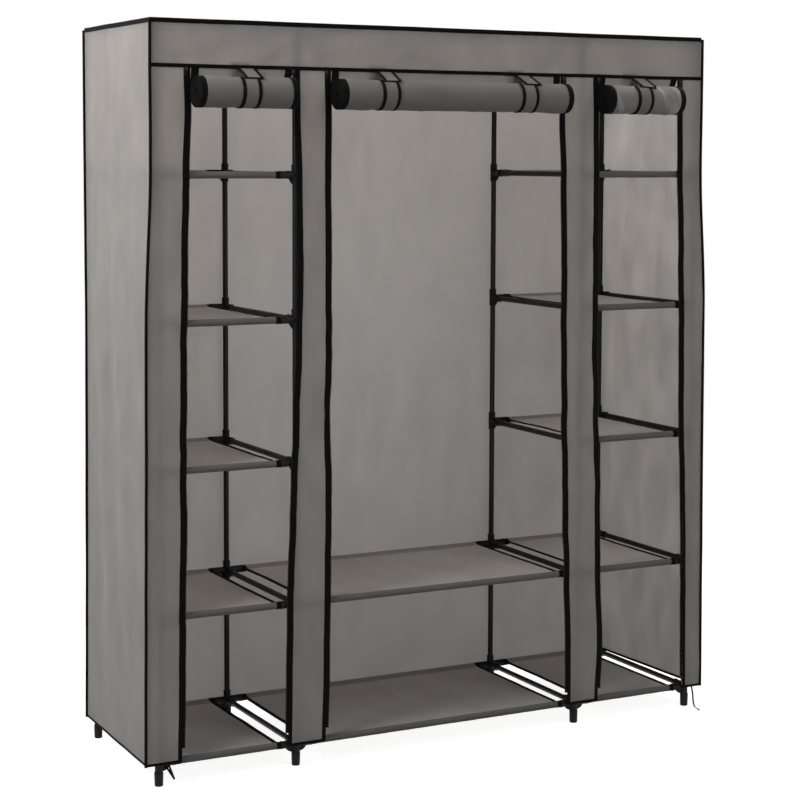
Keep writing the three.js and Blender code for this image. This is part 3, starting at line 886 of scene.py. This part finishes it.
# Cover back: the same cloth in one wide panel. It keeps the pressed lines of its packing folds, and
# its inner face is what shows through the open doors.
back_fold = 0.0045
back_fold_count = 5
back_crease = 0.0018
corner_tuck = 0.0019
press_across = 0.25
press_up = 0.28
press_depth = 0.0009
press_width = 0.004
back_cloth = cloth_finish("back_cloth", cover_grey, cover_glow, streak=0.035)


def pressed(value, pitch):
    """The groove of the nearest packing fold, from 0 to 1."""
    away = (value / pitch + 0.5) % 1 - 0.5
    return math.exp(-((away * pitch / press_width) ** 2))


def back_point(across, up):
    """The surface of the back, from its right corner seam to its left one."""
    z = hem_z + (top_z - top_tuck - hem_z) * up
    x = (half_width - corner_tuck + spread(1, z, 1.0)) * (1 - 2 * across)
    held = swelling(up) * swelling(across) ** 0.5
    bulge = back_fold * fold(back_fold_count, across, up) * swelling(up)
    bulge += back_crease * rumple(x, z, 21, 0.15) * held
    bulge -= press_depth * held * max(pressed(x, press_across), pressed(z, press_up))
    return Vector((x, back_y - cover_wall / 2 + bulge, z))


back_tubes = [f"top_tube_back_{bay}" for bay in bays]
back_flat = (2 * half_width, top_z - hem_z)
panel("cover_panel_back", "cover_back", back_flat, 190, 200, back_point, "hung", back_tubes, back_cloth)

# Cover top: the cloth lid over the top tubes, with a few small creases. It is stretched from seam to
# seam, and sinks a little into each bay.
top_sag = 0.006
top_crease = 0.001
top_edge = 0.001
bay_edges = [-half_width, post_x["left_divider"], post_x["right_divider"], half_width]


def top_point(across, along):
    """The surface of the lid, from left to right and from front to back."""
    x = -half_width + top_edge + (2 * half_width - 2 * top_edge) * across
    bay = min(sum(x > edge for edge in bay_edges[1:]), 2)
    share = (x - bay_edges[bay]) / (bay_edges[bay + 1] - bay_edges[bay])
    y = front_y + top_edge + (depth - 2 * top_edge) * along
    sink = top_sag * (swelling(share) * swelling(along)) ** 2
    sink += top_crease * abs(wavy(x * 9, y * 8, 2)) * swelling(along)
    return Vector((x, y, top_z - cover_wall / 2 - sink))


middle_tubes = ["top_tube_front_middle", "top_tube_back_middle"]
panel("cover_lid", "cover_top", (2 * half_width, depth), 150, 50, top_point, "stretched", middle_tubes)

# Valance: a plain band of the cover's cloth round the top of the front, over the seam of the rolled
# doors. It is held at its top and bottom seams, and puffs a little between them.
valance_puff = 0.0018


def valance_point(across, up):
    """The surface of the valance, from left to right."""
    x = (half_width - top_tuck) * (2 * across - 1)
    z = seam_z + (top_z - top_tuck - seam_z) * up
    puff = wavy(x * 7 + z * 9, z * 11, 4) + 1 - 2.2 * abs(wavy(x * 6 - z * 12, z * 7, 8))
    puff *= valance_puff * swelling(up) * swelling(across) ** 0.3
    return Vector((x, front_y + cover_wall / 2 - puff, z))


band_flat = (2 * half_width, top_z - seam_z)
band_tube = middle_tubes[:1]
panel("cover_front_band", "cover_valance", band_flat, 200, 16, valance_point, "stretched", band_tube)

# Front strips: four upright bands of cloth that hang in front of the posts. Their door edges wave a
# little, and end in a bound edge with half a zip.
strip_drop = seam_z - hem_z
seam_gap = 0.0003
hung_from = ["cover_front_band"]
wave = 0.003
wave_length = 0.26
edge_wander = 0.0022
edge_jitter = 0.0012
strip_ripple = 0.0009
zip_band = 0.008
strip_rows = 220
millimetre = 0.001
# Where each strip was cut, from its left edge to its right one.
strip_edges = {
    "left": (-half_width, -half_width + 0.088),
    "left_divider": (post_x["left_divider"] - 0.016, post_x["left_divider"] + 0.078),
    "right_divider": (post_x["right_divider"] - 0.062, post_x["right_divider"] + 0.05),
    "right": (half_width - 0.07, half_width),
}
# How far each door edge leans to the right, in millimetres, at heights from the seam to the hem.
lean_heights = (seam_z, 1.54, 1.4, 1.2, 1.0, 0.8, 0.6, 0.4, 0.2, hem_z)
edge_leans = {
    "left_1": (8, 10, 4, 0, -3, -6, -6, -10, -12, -15),
    "left_divider_0": (5, 7, 11, 14, 10, 2, -5, -13, -15, -17),
    "left_divider_1": (9, 11, 10, 12, 12, 8, 12, 9, 6, 2),
    "right_divider_0": (-5, -7, -1, 3, 4, 8, 13, 19, 26, 27),
    "right_divider_1": (-3, 0, 2, 3, 3, 8, 16, 19, 28, 22),
    "right_0": (-4, -2, 1, 8, 12, 15, 23, 28, 31, 33),
}


def leaning(edge, z):
    """How far a door edge hangs to the right of where it was cut, at a height."""
    leans = edge_leans[edge]
    for high, low, above, below in zip(lean_heights, lean_heights[1:], leans, leans[1:]):
        if z >= low:
            break
    return millimetre * (below + (above - below) * eased((z - low) / (high - low)))


def strip_edge(side, end, z):
    """Where an edge of a strip is at a height: an outer one follows the side panel."""
    x = strip_edges[side][end]
    if abs(x) == half_width:
        sign = math.copysign(1, x)
        return sign * (half_width - corner_tuck + spread(sign, z))
    held = swelling(min(max((z - hem_z) / strip_drop, 0), 1))
    ragged = edge_wander * wavy(x * 9, z * 11, 1) + edge_jitter * wavy(x * 23, z * 27, 4)
    return x + leaning(f"{side}_{end}", z) + ragged * held


def strip_shape(side):
    """The surface of a strip: a function of (across, up), across from one edge to the other."""
    start = strip_edges[side][0]

    def place(across, up):
        z = hem_z + (strip_drop - seam_gap) * up
        swing = math.sin(2 * math.pi * (z - hem_z) / wave_length + start / millimetre)
        left = strip_edge(side, 0, z)
        x = left + (strip_edge(side, 1, z) - left) * across
        clear = min(max(abs(x - post_x[side]) / socket_reach - 1, 0), 1)
        inward = wave * (0.5 + 0.5 * swing) * swelling(up) * clear
        ripple = strip_ripple * wavy(x * 16, z * 6, 6) * swelling(up)
        return Vector((x, front_y + cover_wall / 2 + inward + min(ripple, 0), z))

    return place


opening_edges = []
for side, (start, end) in strip_edges.items():
    place = strip_shape(side)
    left_in = zip_band / (end - start) if start > -half_width else 0
    right_in = zip_band / (end - start) if end < half_width else 0

    def cloth_point(across, up):
        """The strip without its zip bands."""
        return place(left_in + (1 - left_in - right_in) * across, up)

    made = patch(end - start, strip_drop, 20, strip_rows, cloth_point)
    flat = ((end - start) * (1 - left_in - right_in), strip_drop)
    name = f"front_band_{side}"
    sheet(name, made, cover_cloth, f"front_strip_{side}", flat, "hung", hung_from, cloth=cover_wall)
    if left_in:
        opening_edges.append((f"{side}_left", place, 0, 1))
    if right_in:
        opening_edges.append((f"{side}_right", place, 1, -1))

# Opening edges: black tape folded over the strip's edge and stitched, and beyond it half a zip,
# whose tape stops a little above the hem. The coil's loops stand along the tape's free edge.
edge_tape_width = 0.0095
fold_wall = 0.0014
zip_wall = 0.0009
lap = 0.0006
inner_share = 0.06
binding_stop = 0.001
zip_stop = 0.032
zip_lap = 0.001
coil_pitch = 0.0022
coil_inset = 0.0012
coil_size = Matrix.Diagonal((0.0026, 0.0014, 0.0012, 1))
zip_coil = finish("zip_coil", roughness=0.4, Specular_IOR_Level=0.16)
coil_noise = mottle(zip_coil, add(zip_coil, "ShaderNodeTexCoord", output="Object"), 300.0, 2.0)
coloured(zip_coil, steel_black, [ranged(zip_coil, coil_noise, 0.8, 1.3)])
bumped(zip_coil, [(coil_noise, 0.2, 0.0001)])


def edge_stations(place, at, inward, low):
    """Stations up an edge of a strip, from a height above the hem to the seam."""
    start = low / strip_drop
    heights = [start + (1 - start) * i / strip_rows for i in range(strip_rows + 1)]
    line = [place(at, up) for up in heights]
    stations = []
    for i, (point, up) in enumerate(zip(line, heights)):
        across = (place(at + inward * inner_share, up) - point).normalized()
        stations.append((point, across, heading(line, i).cross(across)))
    return stations


for name, place, at, inward in opening_edges:
    stations = edge_stations(place, at, inward, binding_stop)
    far = zip_band + edge_tape_width
    tape_band(f"edge_binding_{name}", stations, zip_band - lap, far, cover_wall + fold_wall)
    stations = edge_stations(place, at, inward, zip_stop)
    tape_band(f"zip_tape_{name}", stations, coil_inset, zip_band + zip_lap, zip_wall)
    coil = bmesh.new()
    walked = 0.0
    for (point, across, lift), (following, _, _) in zip(stations, stations[1:]):
        step = following - point
        turn = Matrix((across, step.normalized(), lift)).transposed().to_4x4()
        while walked < step.length:
            loop_at = Matrix.Translation(point + step * (walked / step.length) + across * coil_inset)
            bmesh.ops.create_cube(coil, size=1, matrix=loop_at @ turn @ coil_size)
            walked += coil_pitch
        walked -= step.length
    piece(f"zip_coil_{name}", coil, zip_coil, "black_tape")

# Seams and hem: every seam of the cover is bound in the same black tape. The top edge and the hem
# are broad bands, the corner seams thin ridges, and the valance's seam lies flat across the front.
top_band = 0.0105
top_proud = 0.0012
seam_band = 0.0086
seam_proud = 0.0015
hem_band = 0.0058
hem_lap = 0.0008
hem_start = 0.9 * zip_band
corner_ridge = 0.0035
ridge_out = 0.75 * corner_ridge
corner_bend = 0.004
band_wall = 0.0026
thin_band_wall = 0.0022
top_wander = 0.0006
valance_wander = 0.0007
corner_wander = 0.0009
corner_proud = 0.0004
bend_steps = 4
seam_steps = 120
corner_steps = 160
upright = Vector((0, 0, 1))
corners = [(-half_width, front_y), (half_width, front_y), (half_width, back_y), (-half_width, back_y)]


def rounded_loop(z, grow, steps):
    """Stations round the cover's top edge, pushed out by grow, with rounded corners."""
    stations = []
    for i, (x, y) in enumerate(corners):
        outward = Vector((math.copysign(1, x), -1 if y == front_y else 1, 0))
        centre = Vector((x, y, z)) + outward * (grow - corner_bend)
        first = math.atan2(y - corners[i - 1][1], x - corners[i - 1][0]) - math.pi / 2
        for step in range(bend_steps + 1):
            turn = first + math.pi / 2 * step / bend_steps
            out = Vector((math.cos(turn), math.sin(turn), 0))
            stations.append((centre + out * corner_bend, -upright, out))
        following = corners[(i + 1) % 4]
        run = Vector((following[0] - x, following[1] - y, 0))
        for step in range(1, steps):
            base = Vector((x, y, z)) + run * (step / steps)
            wobble = upright * top_wander * noise.noise(base * 9)
            stations.append((base + out * grow + wobble, -upright, out))
    return [*stations, stations[0]]


top_route = rounded_loop(top_z + top_proud, top_proud / 2, steps=40)
tape_band("top_seam_binding", top_route, 0, top_band, band_wall)

seam_route = []
for i in range(seam_steps + 1):
    x = (half_width - top_edge) * (2 * i / seam_steps - 1)
    point = Vector((x, front_y - seam_proud, seam_z + valance_wander * wavy(x * 6, 2, 5)))
    seam_route.append((point, upright, Vector((0, -1, 0))))
tape_band("valance_seam_binding", seam_route, -seam_band / 2, seam_band / 2, thin_band_wall)

ridge_section = [(ridge_out + a, b) for a, b in round_section(corner_ridge, 10)]
for face, y, outward in (("front", front_y, -1), ("back", back_y, 1)):
    for side, sign in (("left", -1), ("right", 1)):
        across = Vector((sign, outward, 0)).normalized()
        lift = Vector((-outward, sign, 0)).normalized()
        route = []
        for i in range(corner_steps + 1):
            z = hem_z + (top_z - 2 * top_tuck - hem_z) * i / corner_steps
            wander = corner_wander * wavy(z * 7, sign * 3, y * 9)
            x = sign * (half_width + spread(sign, z, (outward + 1) / 2) + corner_proud + wander)
            route.append((Vector((x, y + outward * lap, z)), across, lift))
        tape_piece(f"corner_binding_{face}_{side}", wrap(route, ridge_section))


def hem_piece(name, place, steps, outward, first=0, last=1):
    """A band of tape folded over the lower edge of a surface."""
    points = [place(first + (last - first) * i / steps, 0) for i in range(steps + 1)]
    stations = []
    for i, point in enumerate(points):
        lift = heading(points, i).cross(upright).normalized()
        stations.append((point, upright, lift if lift.dot(Vector(outward)) >= 0 else -lift))
    tape_band(name, stations, -hem_lap, hem_band, thin_band_wall)


for side, sign in (("left", -1), ("right", 1)):
    hem_piece(f"hem_binding_side_{side}", side_shape(sign), 64, (sign, 0, 0))
hem_piece("hem_binding_back", back_point, 120, (0, 1, 0))
for side, (start, end) in strip_edges.items():
    first = hem_start / (end - start) if start > -half_width else 0
    last = 1 - hem_start / (end - start) if end < half_width else 1
    hem_piece(f"hem_binding_{side}", strip_shape(side), 12, (0, -1, 0), first, last)

# Door curtains: the short flat length of each door that is left below the seam. Its free zip tapes
# pull in towards the ends of the roll, which leaves a small bright gap beside each.
roll_z = 1.588
roll_back = -0.0018
tape_half = 0.0185
tape_lap = 0.8
flat_drop = seam_z - roll_z
flat_edge = 0.001
curtain_pucker = 0.0012
curtain_wall = 0.0008
tape_forward = 0.0004
door_edges = {
    "left": (strip_edge("left", 1, seam_z), strip_edge("left_divider", 0, seam_z)),
    "middle": (strip_edge("left_divider", 1, seam_z), strip_edge("right_divider", 0, seam_z)),
    "right": (strip_edge("right_divider", 1, seam_z), strip_edge("right", 0, seam_z)),
}
roll_ends = {door: [corner.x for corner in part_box(f"door_{door}_roll")] for door in door_edges}
door_grey = (0.215, 0.205, 0.195)
door_glow = (0.45, 0.435, 0.42)
curtain_cloth = cloth_finish("curtain_cloth", door_grey, door_glow, streak=0.05)


def curtain_shape(door):
    """The surface of a door's flat length, from its upper seam down to the back of the roll."""
    start, end = door_edges[door]
    roll_start, roll_end = roll_ends[door]

    def place(across, up):
        pull = eased(1 - up)
        left = start + flat_edge + (roll_start - start - flat_edge) * pull
        right = end - flat_edge + (roll_end - end + flat_edge) * pull
        pucker = curtain_pucker * abs(wavy(across * (end - start) * 30, up * 2, start)) * swelling(up)
        y = front_y + roll_back * (1 - up) + lap - pucker
        return Vector((left + (right - left) * across, y, roll_z + (flat_drop - seam_gap) * up))

    return place


for door, (start, end) in door_edges.items():
    place = curtain_shape(door)
    share = tape_half / (end - start)
    node = f"door_{door}_curtain"
    for kind, low, high in (
        ("cloth", tape_lap * share, 1 - tape_lap * share),
        ("tape_left", 0, share),
        ("tape_right", 1 - share, 1),
    ):

        def part_point(across, up):
            """This part of the door's flat length, with the tapes in front of the cloth."""
            forward = tape_forward if kind != "cloth" else 0
            return place(low + (high - low) * across, up) - Vector((0, forward, 0))

        name = f"door_{door}_flat_{kind}"
        if kind == "cloth":
            flat = (end - start - 2 * tape_lap * tape_half, flat_drop)
            made = patch(*flat, 64, 16, part_point)
            wall = {"body": None, "cloth": curtain_wall}
            shown = sheet(name, made, curtain_cloth, node, flat, "hung", hung_from, **wall)
        else:
            made = patch(tape_half, flat_drop, 4, 16, part_point)
            shown = piece(name, made, edge_tape, "black_tape", node, None, fold_wall)
        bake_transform(shown)

# Rolled doors: the rest of each door, rolled up outwards round its own hem. The ends show the edge
# of the rolled zip tapes as black discs, and the cloth swells a little between its straps.
roll_radius = 0.035
roll_gap = 0.003
roll_pitch = 0.00246
roll_core = 0.004
roll_turns = (roll_radius - roll_core) / roll_pitch
roll_turn_steps = 34
roll_length = math.pi * (roll_radius**2 - roll_core**2) / roll_pitch
roll_swell = 0.0011
swell_run = 0.02
slack_run = 0.012
end_run = 0.03
roll_slack = {"left": 1.0, "middle": 1.2, "right": 1.6}
roll_dent = 0.0011
roll_crease = 0.0012
end_band = 0.0145
end_lap = 0.8
end_proud = 0.0002
end_wall = 0.0016
roll_wall = 0.001
roll_cell = 0.008
roll_crisp = 50
roll_y = front_y - roll_gap - roll_radius
strap_width = 0.046
strap_spots = {
    door: [centre_of[n].x for n in sorted(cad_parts) if n.startswith(f"door_{door}_strap")]
    for door in door_edges
}


def rub_and_paint_highlight(material, shine, lift, spots):
    """Adds slanting creases where the cloth is rubbed smooth and shiny, with a painted highlight."""
    flat = add(material, "ShaderNodeTexCoord", output="UV")
    turned = add(material, "ShaderNodeMapping", {"Vector": flat, "Rotation": (0, 0, math.radians(-38))})
    drawn = add(material, "ShaderNodeMapping", {"Vector": turned, "Scale": (spots, spots * 0.22, 1)})
    smooth = ranged(material, mottle(material, drawn, 1.0, 1.0), 0, 1, 0.52, 0.68)
    feed(material, ranged(material, smooth, 0.8, shine, 0, 1), "Principled BSDF", "Roughness")
    surface = material.node_tree.nodes["Principled BSDF"].inputs
    surface["Specular IOR Level"].default_value = 0.6
    # Lift raises the creases' base colour: a painted highlight.
    plain = surface["Base Color"].links[0].from_socket
    coloured(material, plain, [ranged(material, smooth, 1, lift, 0, 1)])
    bumped(material, [(smooth, 0.8, 0.0025)], surface["Normal"].links[0].from_socket)


door_cloth = cloth_finish("door_cloth", door_grey)
# The right roll's cloth, with painted highlights on its rubbed creases.
painted_highlight_cloth = cloth_finish("painted_highlight_cloth", door_grey)
rub_and_paint_highlight(painted_highlight_cloth, shine=0.34, lift=1.5, spots=36.0)


def roll_shape(door, low, high, proud):
    """The surface of a rolled door between two places along X, from its outer end inwards."""
    roll_start, roll_end = roll_ends[door]

    def place(across, inwards):
        x = low + (high - low) * across
        held = min(abs(x - spot) for spot in strap_spots[door]) - strap_width / 2
        turn = -2 * math.pi * roll_turns * inwards
        arc = -turn * roll_radius
        dent = wavy(x * 14, math.cos(turn) * 1.2, math.sin(turn) * 1.2 + roll_start)
        crease = 1 - 4.5 * abs(wavy((x + arc) * 17, (x - arc) * 5, roll_end))
        near_end = min(x - roll_start, roll_end - x)
        slack = roll_slack[door] * (roll_dent * dent + roll_crease * max(crease, 0) ** 2)
        slack *= eased(1.5 - roll_turns * inwards) * eased(held / slack_run) * eased(near_end / end_run)
        radius = roll_radius + roll_swell * eased(held / swell_run) + slack + proud
        radius -= roll_pitch * roll_turns * inwards
        return Vector((x, roll_y + radius * math.cos(turn), roll_z + radius * math.sin(turn)))

    return place


for door, (start, end) in roll_ends.items():
    rows = round(roll_turns * roll_turn_steps)
    body = f"door_{door}"
    node = f"door_{door}_roll"
    low = start + end_lap * end_band
    high = end - end_lap * end_band
    flat = (high - low, roll_length)
    made = patch(*flat, round(flat[0] / roll_cell), rows, roll_shape(door, low, high, 0))
    rolled = painted_highlight_cloth if door == "right" else door_cloth
    wound = {"body": body, "cloth": roll_wall, "crisp": roll_crisp}
    shown = [sheet(f"{node}_cloth", made, rolled, node, flat, "folded", [], **wound)]
    for kind, end_from in (("left", start), ("right", end - end_band)):
        place = roll_shape(door, end_from, end_from + end_band, end_proud)
        made = patch(end_band, roll_length, 3, rows, place)
        name = f"{node}_end_{kind}"
        shown.append(piece(name, made, edge_tape, "black_tape", node, body, end_wall, roll_crisp))
    for soft in shown:
        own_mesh(soft)

# Straps: bands of the cover cloth bound in black tape, sewn into the seam. The front one slopes out
# over the roll, and the back one comes round under it and closes beneath the front one's end.
strap_wall = 0.0009
strap_binding = 0.0019
strap_end_binding = 0.0021
strap_bound = 0.0085
strap_edge = 0.004
strap_lap = 0.01
strap_tuck = 0.003
strap_turn = math.radians(14)
strap_radius = roll_radius + 0.0011
strap_reach = strap_radius + 0.0013
strap_half = strap_width / 2
cloth_half = strap_half - strap_edge
bound_from = strap_half - strap_bound
strap_end_band = 0.0055
strap_steps = 6
strap_round_steps = 40
strap_end_shares = (-1.02, -0.5, 0, 0.5, 1.06)
loop_back = 0.0027
# How far each strap lies to the right of its place, in millimetres, at the seam, at its end and
# round the roll, and then how much higher one edge of its end is than the other.
strap_leans = {
    "door_left_strap_1": (27, 17, 10, 0),
    "door_middle_strap_1": (23, 7, 3, 0),
    "door_middle_strap_2": (30, 22, 10, 2),
    "door_right_strap_1": (36, 20, 8, 7),
}
roll_middle = Vector((roll_y, roll_z))


def on_roll(turn, radius):
    """The point (y, z) at a turn round the middle of a roll."""
    return roll_middle + Vector((math.cos(turn), math.sin(turn))) * radius


def strap_line(from_back):
    """Points (y, z) down a strap: the front one to the roll's upper front, or the back one round."""
    front = Vector((front_y - lap, seam_z - strap_tuck))
    back = Vector((front_y + loop_back, roll_z))
    away = front - roll_middle
    start = math.atan2(away.y, away.x) + math.acos(strap_radius / away.length)
    if not from_back:
        points = [Vector((front.x, seam_z + strap_tuck)), Vector((front.x, seam_z)), front]
        landing = on_roll(start, strap_reach)
        points += [front.lerp(landing, step / strap_steps) for step in range(1, strap_steps)]
        turns = [start + strap_turn * step / strap_steps for step in range(strap_steps + 1)]
        return points + [on_roll(turn, strap_reach) for turn in turns]
    away = back - roll_middle
    end = math.atan2(away.y, away.x) - math.acos(min(strap_radius / away.length, 1)) + 2 * math.pi
    turns = [start + (end - start) * i / strap_round_steps for i in range(strap_round_steps + 1)]
    points = [on_roll(turn, strap_radius) for turn in turns]
    points += [points[-1].lerp(back, share) for share in (0.5, 1)]
    climb = Vector((0, flat_drop + strap_lap))
    return points + [back + climb * (step / strap_steps) for step in range(1, strap_steps + 1)]


def strap_stations(line, start_x, end_x, twist):
    """Stations down a strap's middle, from one place along X to another, and twisting as it goes so
    that one edge ends higher than the other by the twist."""
    stations = []
    for i, point in enumerate(line):
        share = i / (len(line) - 1)
        ahead = heading(line, i)
        slope = Vector((0, ahead.x, ahead.y)) * (twist * share / strap_width)
        across = (Vector((1, 0, 0)) + slope).normalized()
        middle = Vector((start_x + (end_x - start_x) * share, point.x, point.y))
        stations.append((middle, across, Vector((0, -ahead.y, ahead.x))))
    return stations


def join(target, made):
    """Moves one bmesh into another."""
    held = bpy.data.meshes.new("held")
    made.to_mesh(held)
    made.free()
    target.from_mesh(held)
    bpy.data.meshes.remove(held)


for label, leans in strap_leans.items():
    door = label.split("_")[1]
    spot = centre_of[label].x
    at_seam, at_end, at_loop, twist = [lean * millimetre for lean in leans]
    cloth_bands = bmesh.new()
    tape_bands = bmesh.new()
    over = strap_stations(strap_line(from_back=False), spot + at_seam, spot + at_end, twist)
    under = strap_stations(strap_line(from_back=True), spot + at_loop, spot + at_loop, 0)
    end_point, end_side, end_lift = over[-1]
    along = (end_point - over[-2][0]).normalized()
    reaches = [strap_half * share for share in strap_end_shares]
    cross = [(end_point + end_side * reach, -along, end_lift) for reach in reaches]
    for stations in (over, under):
        join(cloth_bands, wrap(stations, flat_section(-cloth_half, cloth_half, strap_wall)))
        join(tape_bands, wrap(stations, flat_section(-strap_half, -bound_from, strap_binding)))
        join(tape_bands, wrap(stations, flat_section(bound_from, strap_half, strap_binding)))
        if stations is over:
            join(tape_bands, wrap(cross, flat_section(-lap, strap_end_band, strap_end_binding)))
    shown = [
        piece(f"{label}_cloth", cloth_bands, door_cloth, "cover_cloth", label),
        tape_piece(f"{label}_binding", tape_bands, label),
    ]
    for soft in shown:
        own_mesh(soft)

# Zip sliders: small lacquered bodies with a wedge nose and a pull tab, at the top of each zip,
# beside the ends of the rolls.
slider_black = (0.014, 0.014, 0.015)
slider_ease = 0.0003
slider_nose = 0.62
slider_gap = 0.0001
plate_wall = 0.001
post_size = (0.0022, 0.003)
tab_size = (0.004, 0.0009, 0.0105)
tab_middle = 0.0055
lacquered_metal = rigid_finish(
    "lacquered_metal",
    slider_black,
    roughness=0.3,
    grain=700.0,
    depth=0.00004,
    Metallic=0.6,
    Specular_IOR_Level=0.3,
)
for door in door_edges:
    for end in ("left", "right"):
        node = f"zip_slider_{door}_door_{end}"
        low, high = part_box(node)
        x = (low.x + high.x) / 2
        near = low.y + slider_gap
        made = bmesh.new()
        height = high.z - low.z - tab_middle
        for start, stop in ((near, near + plate_wall), (high.y - plate_wall - slider_gap, high.y)):
            middle = (x, (start + stop) / 2, high.z - height / 2)
            eased_block(made, middle, (high.x - low.x, stop - start, height), slider_ease, slider_nose)
        post_depth = high.y - low.y - 4 * slider_gap
        bridge = (post_size[0], post_depth, post_size[1])
        eased_block(made, (x, near + post_depth / 2, high.z - post_size[1]), bridge, slider_ease)
        eased_block(made, (x, near + tab_size[1] / 2, low.z + tab_middle), tab_size, slider_ease)
        piece(f"zip_pull_{door}_door_{end}", made, lacquered_metal, "zip_metal", node, node)
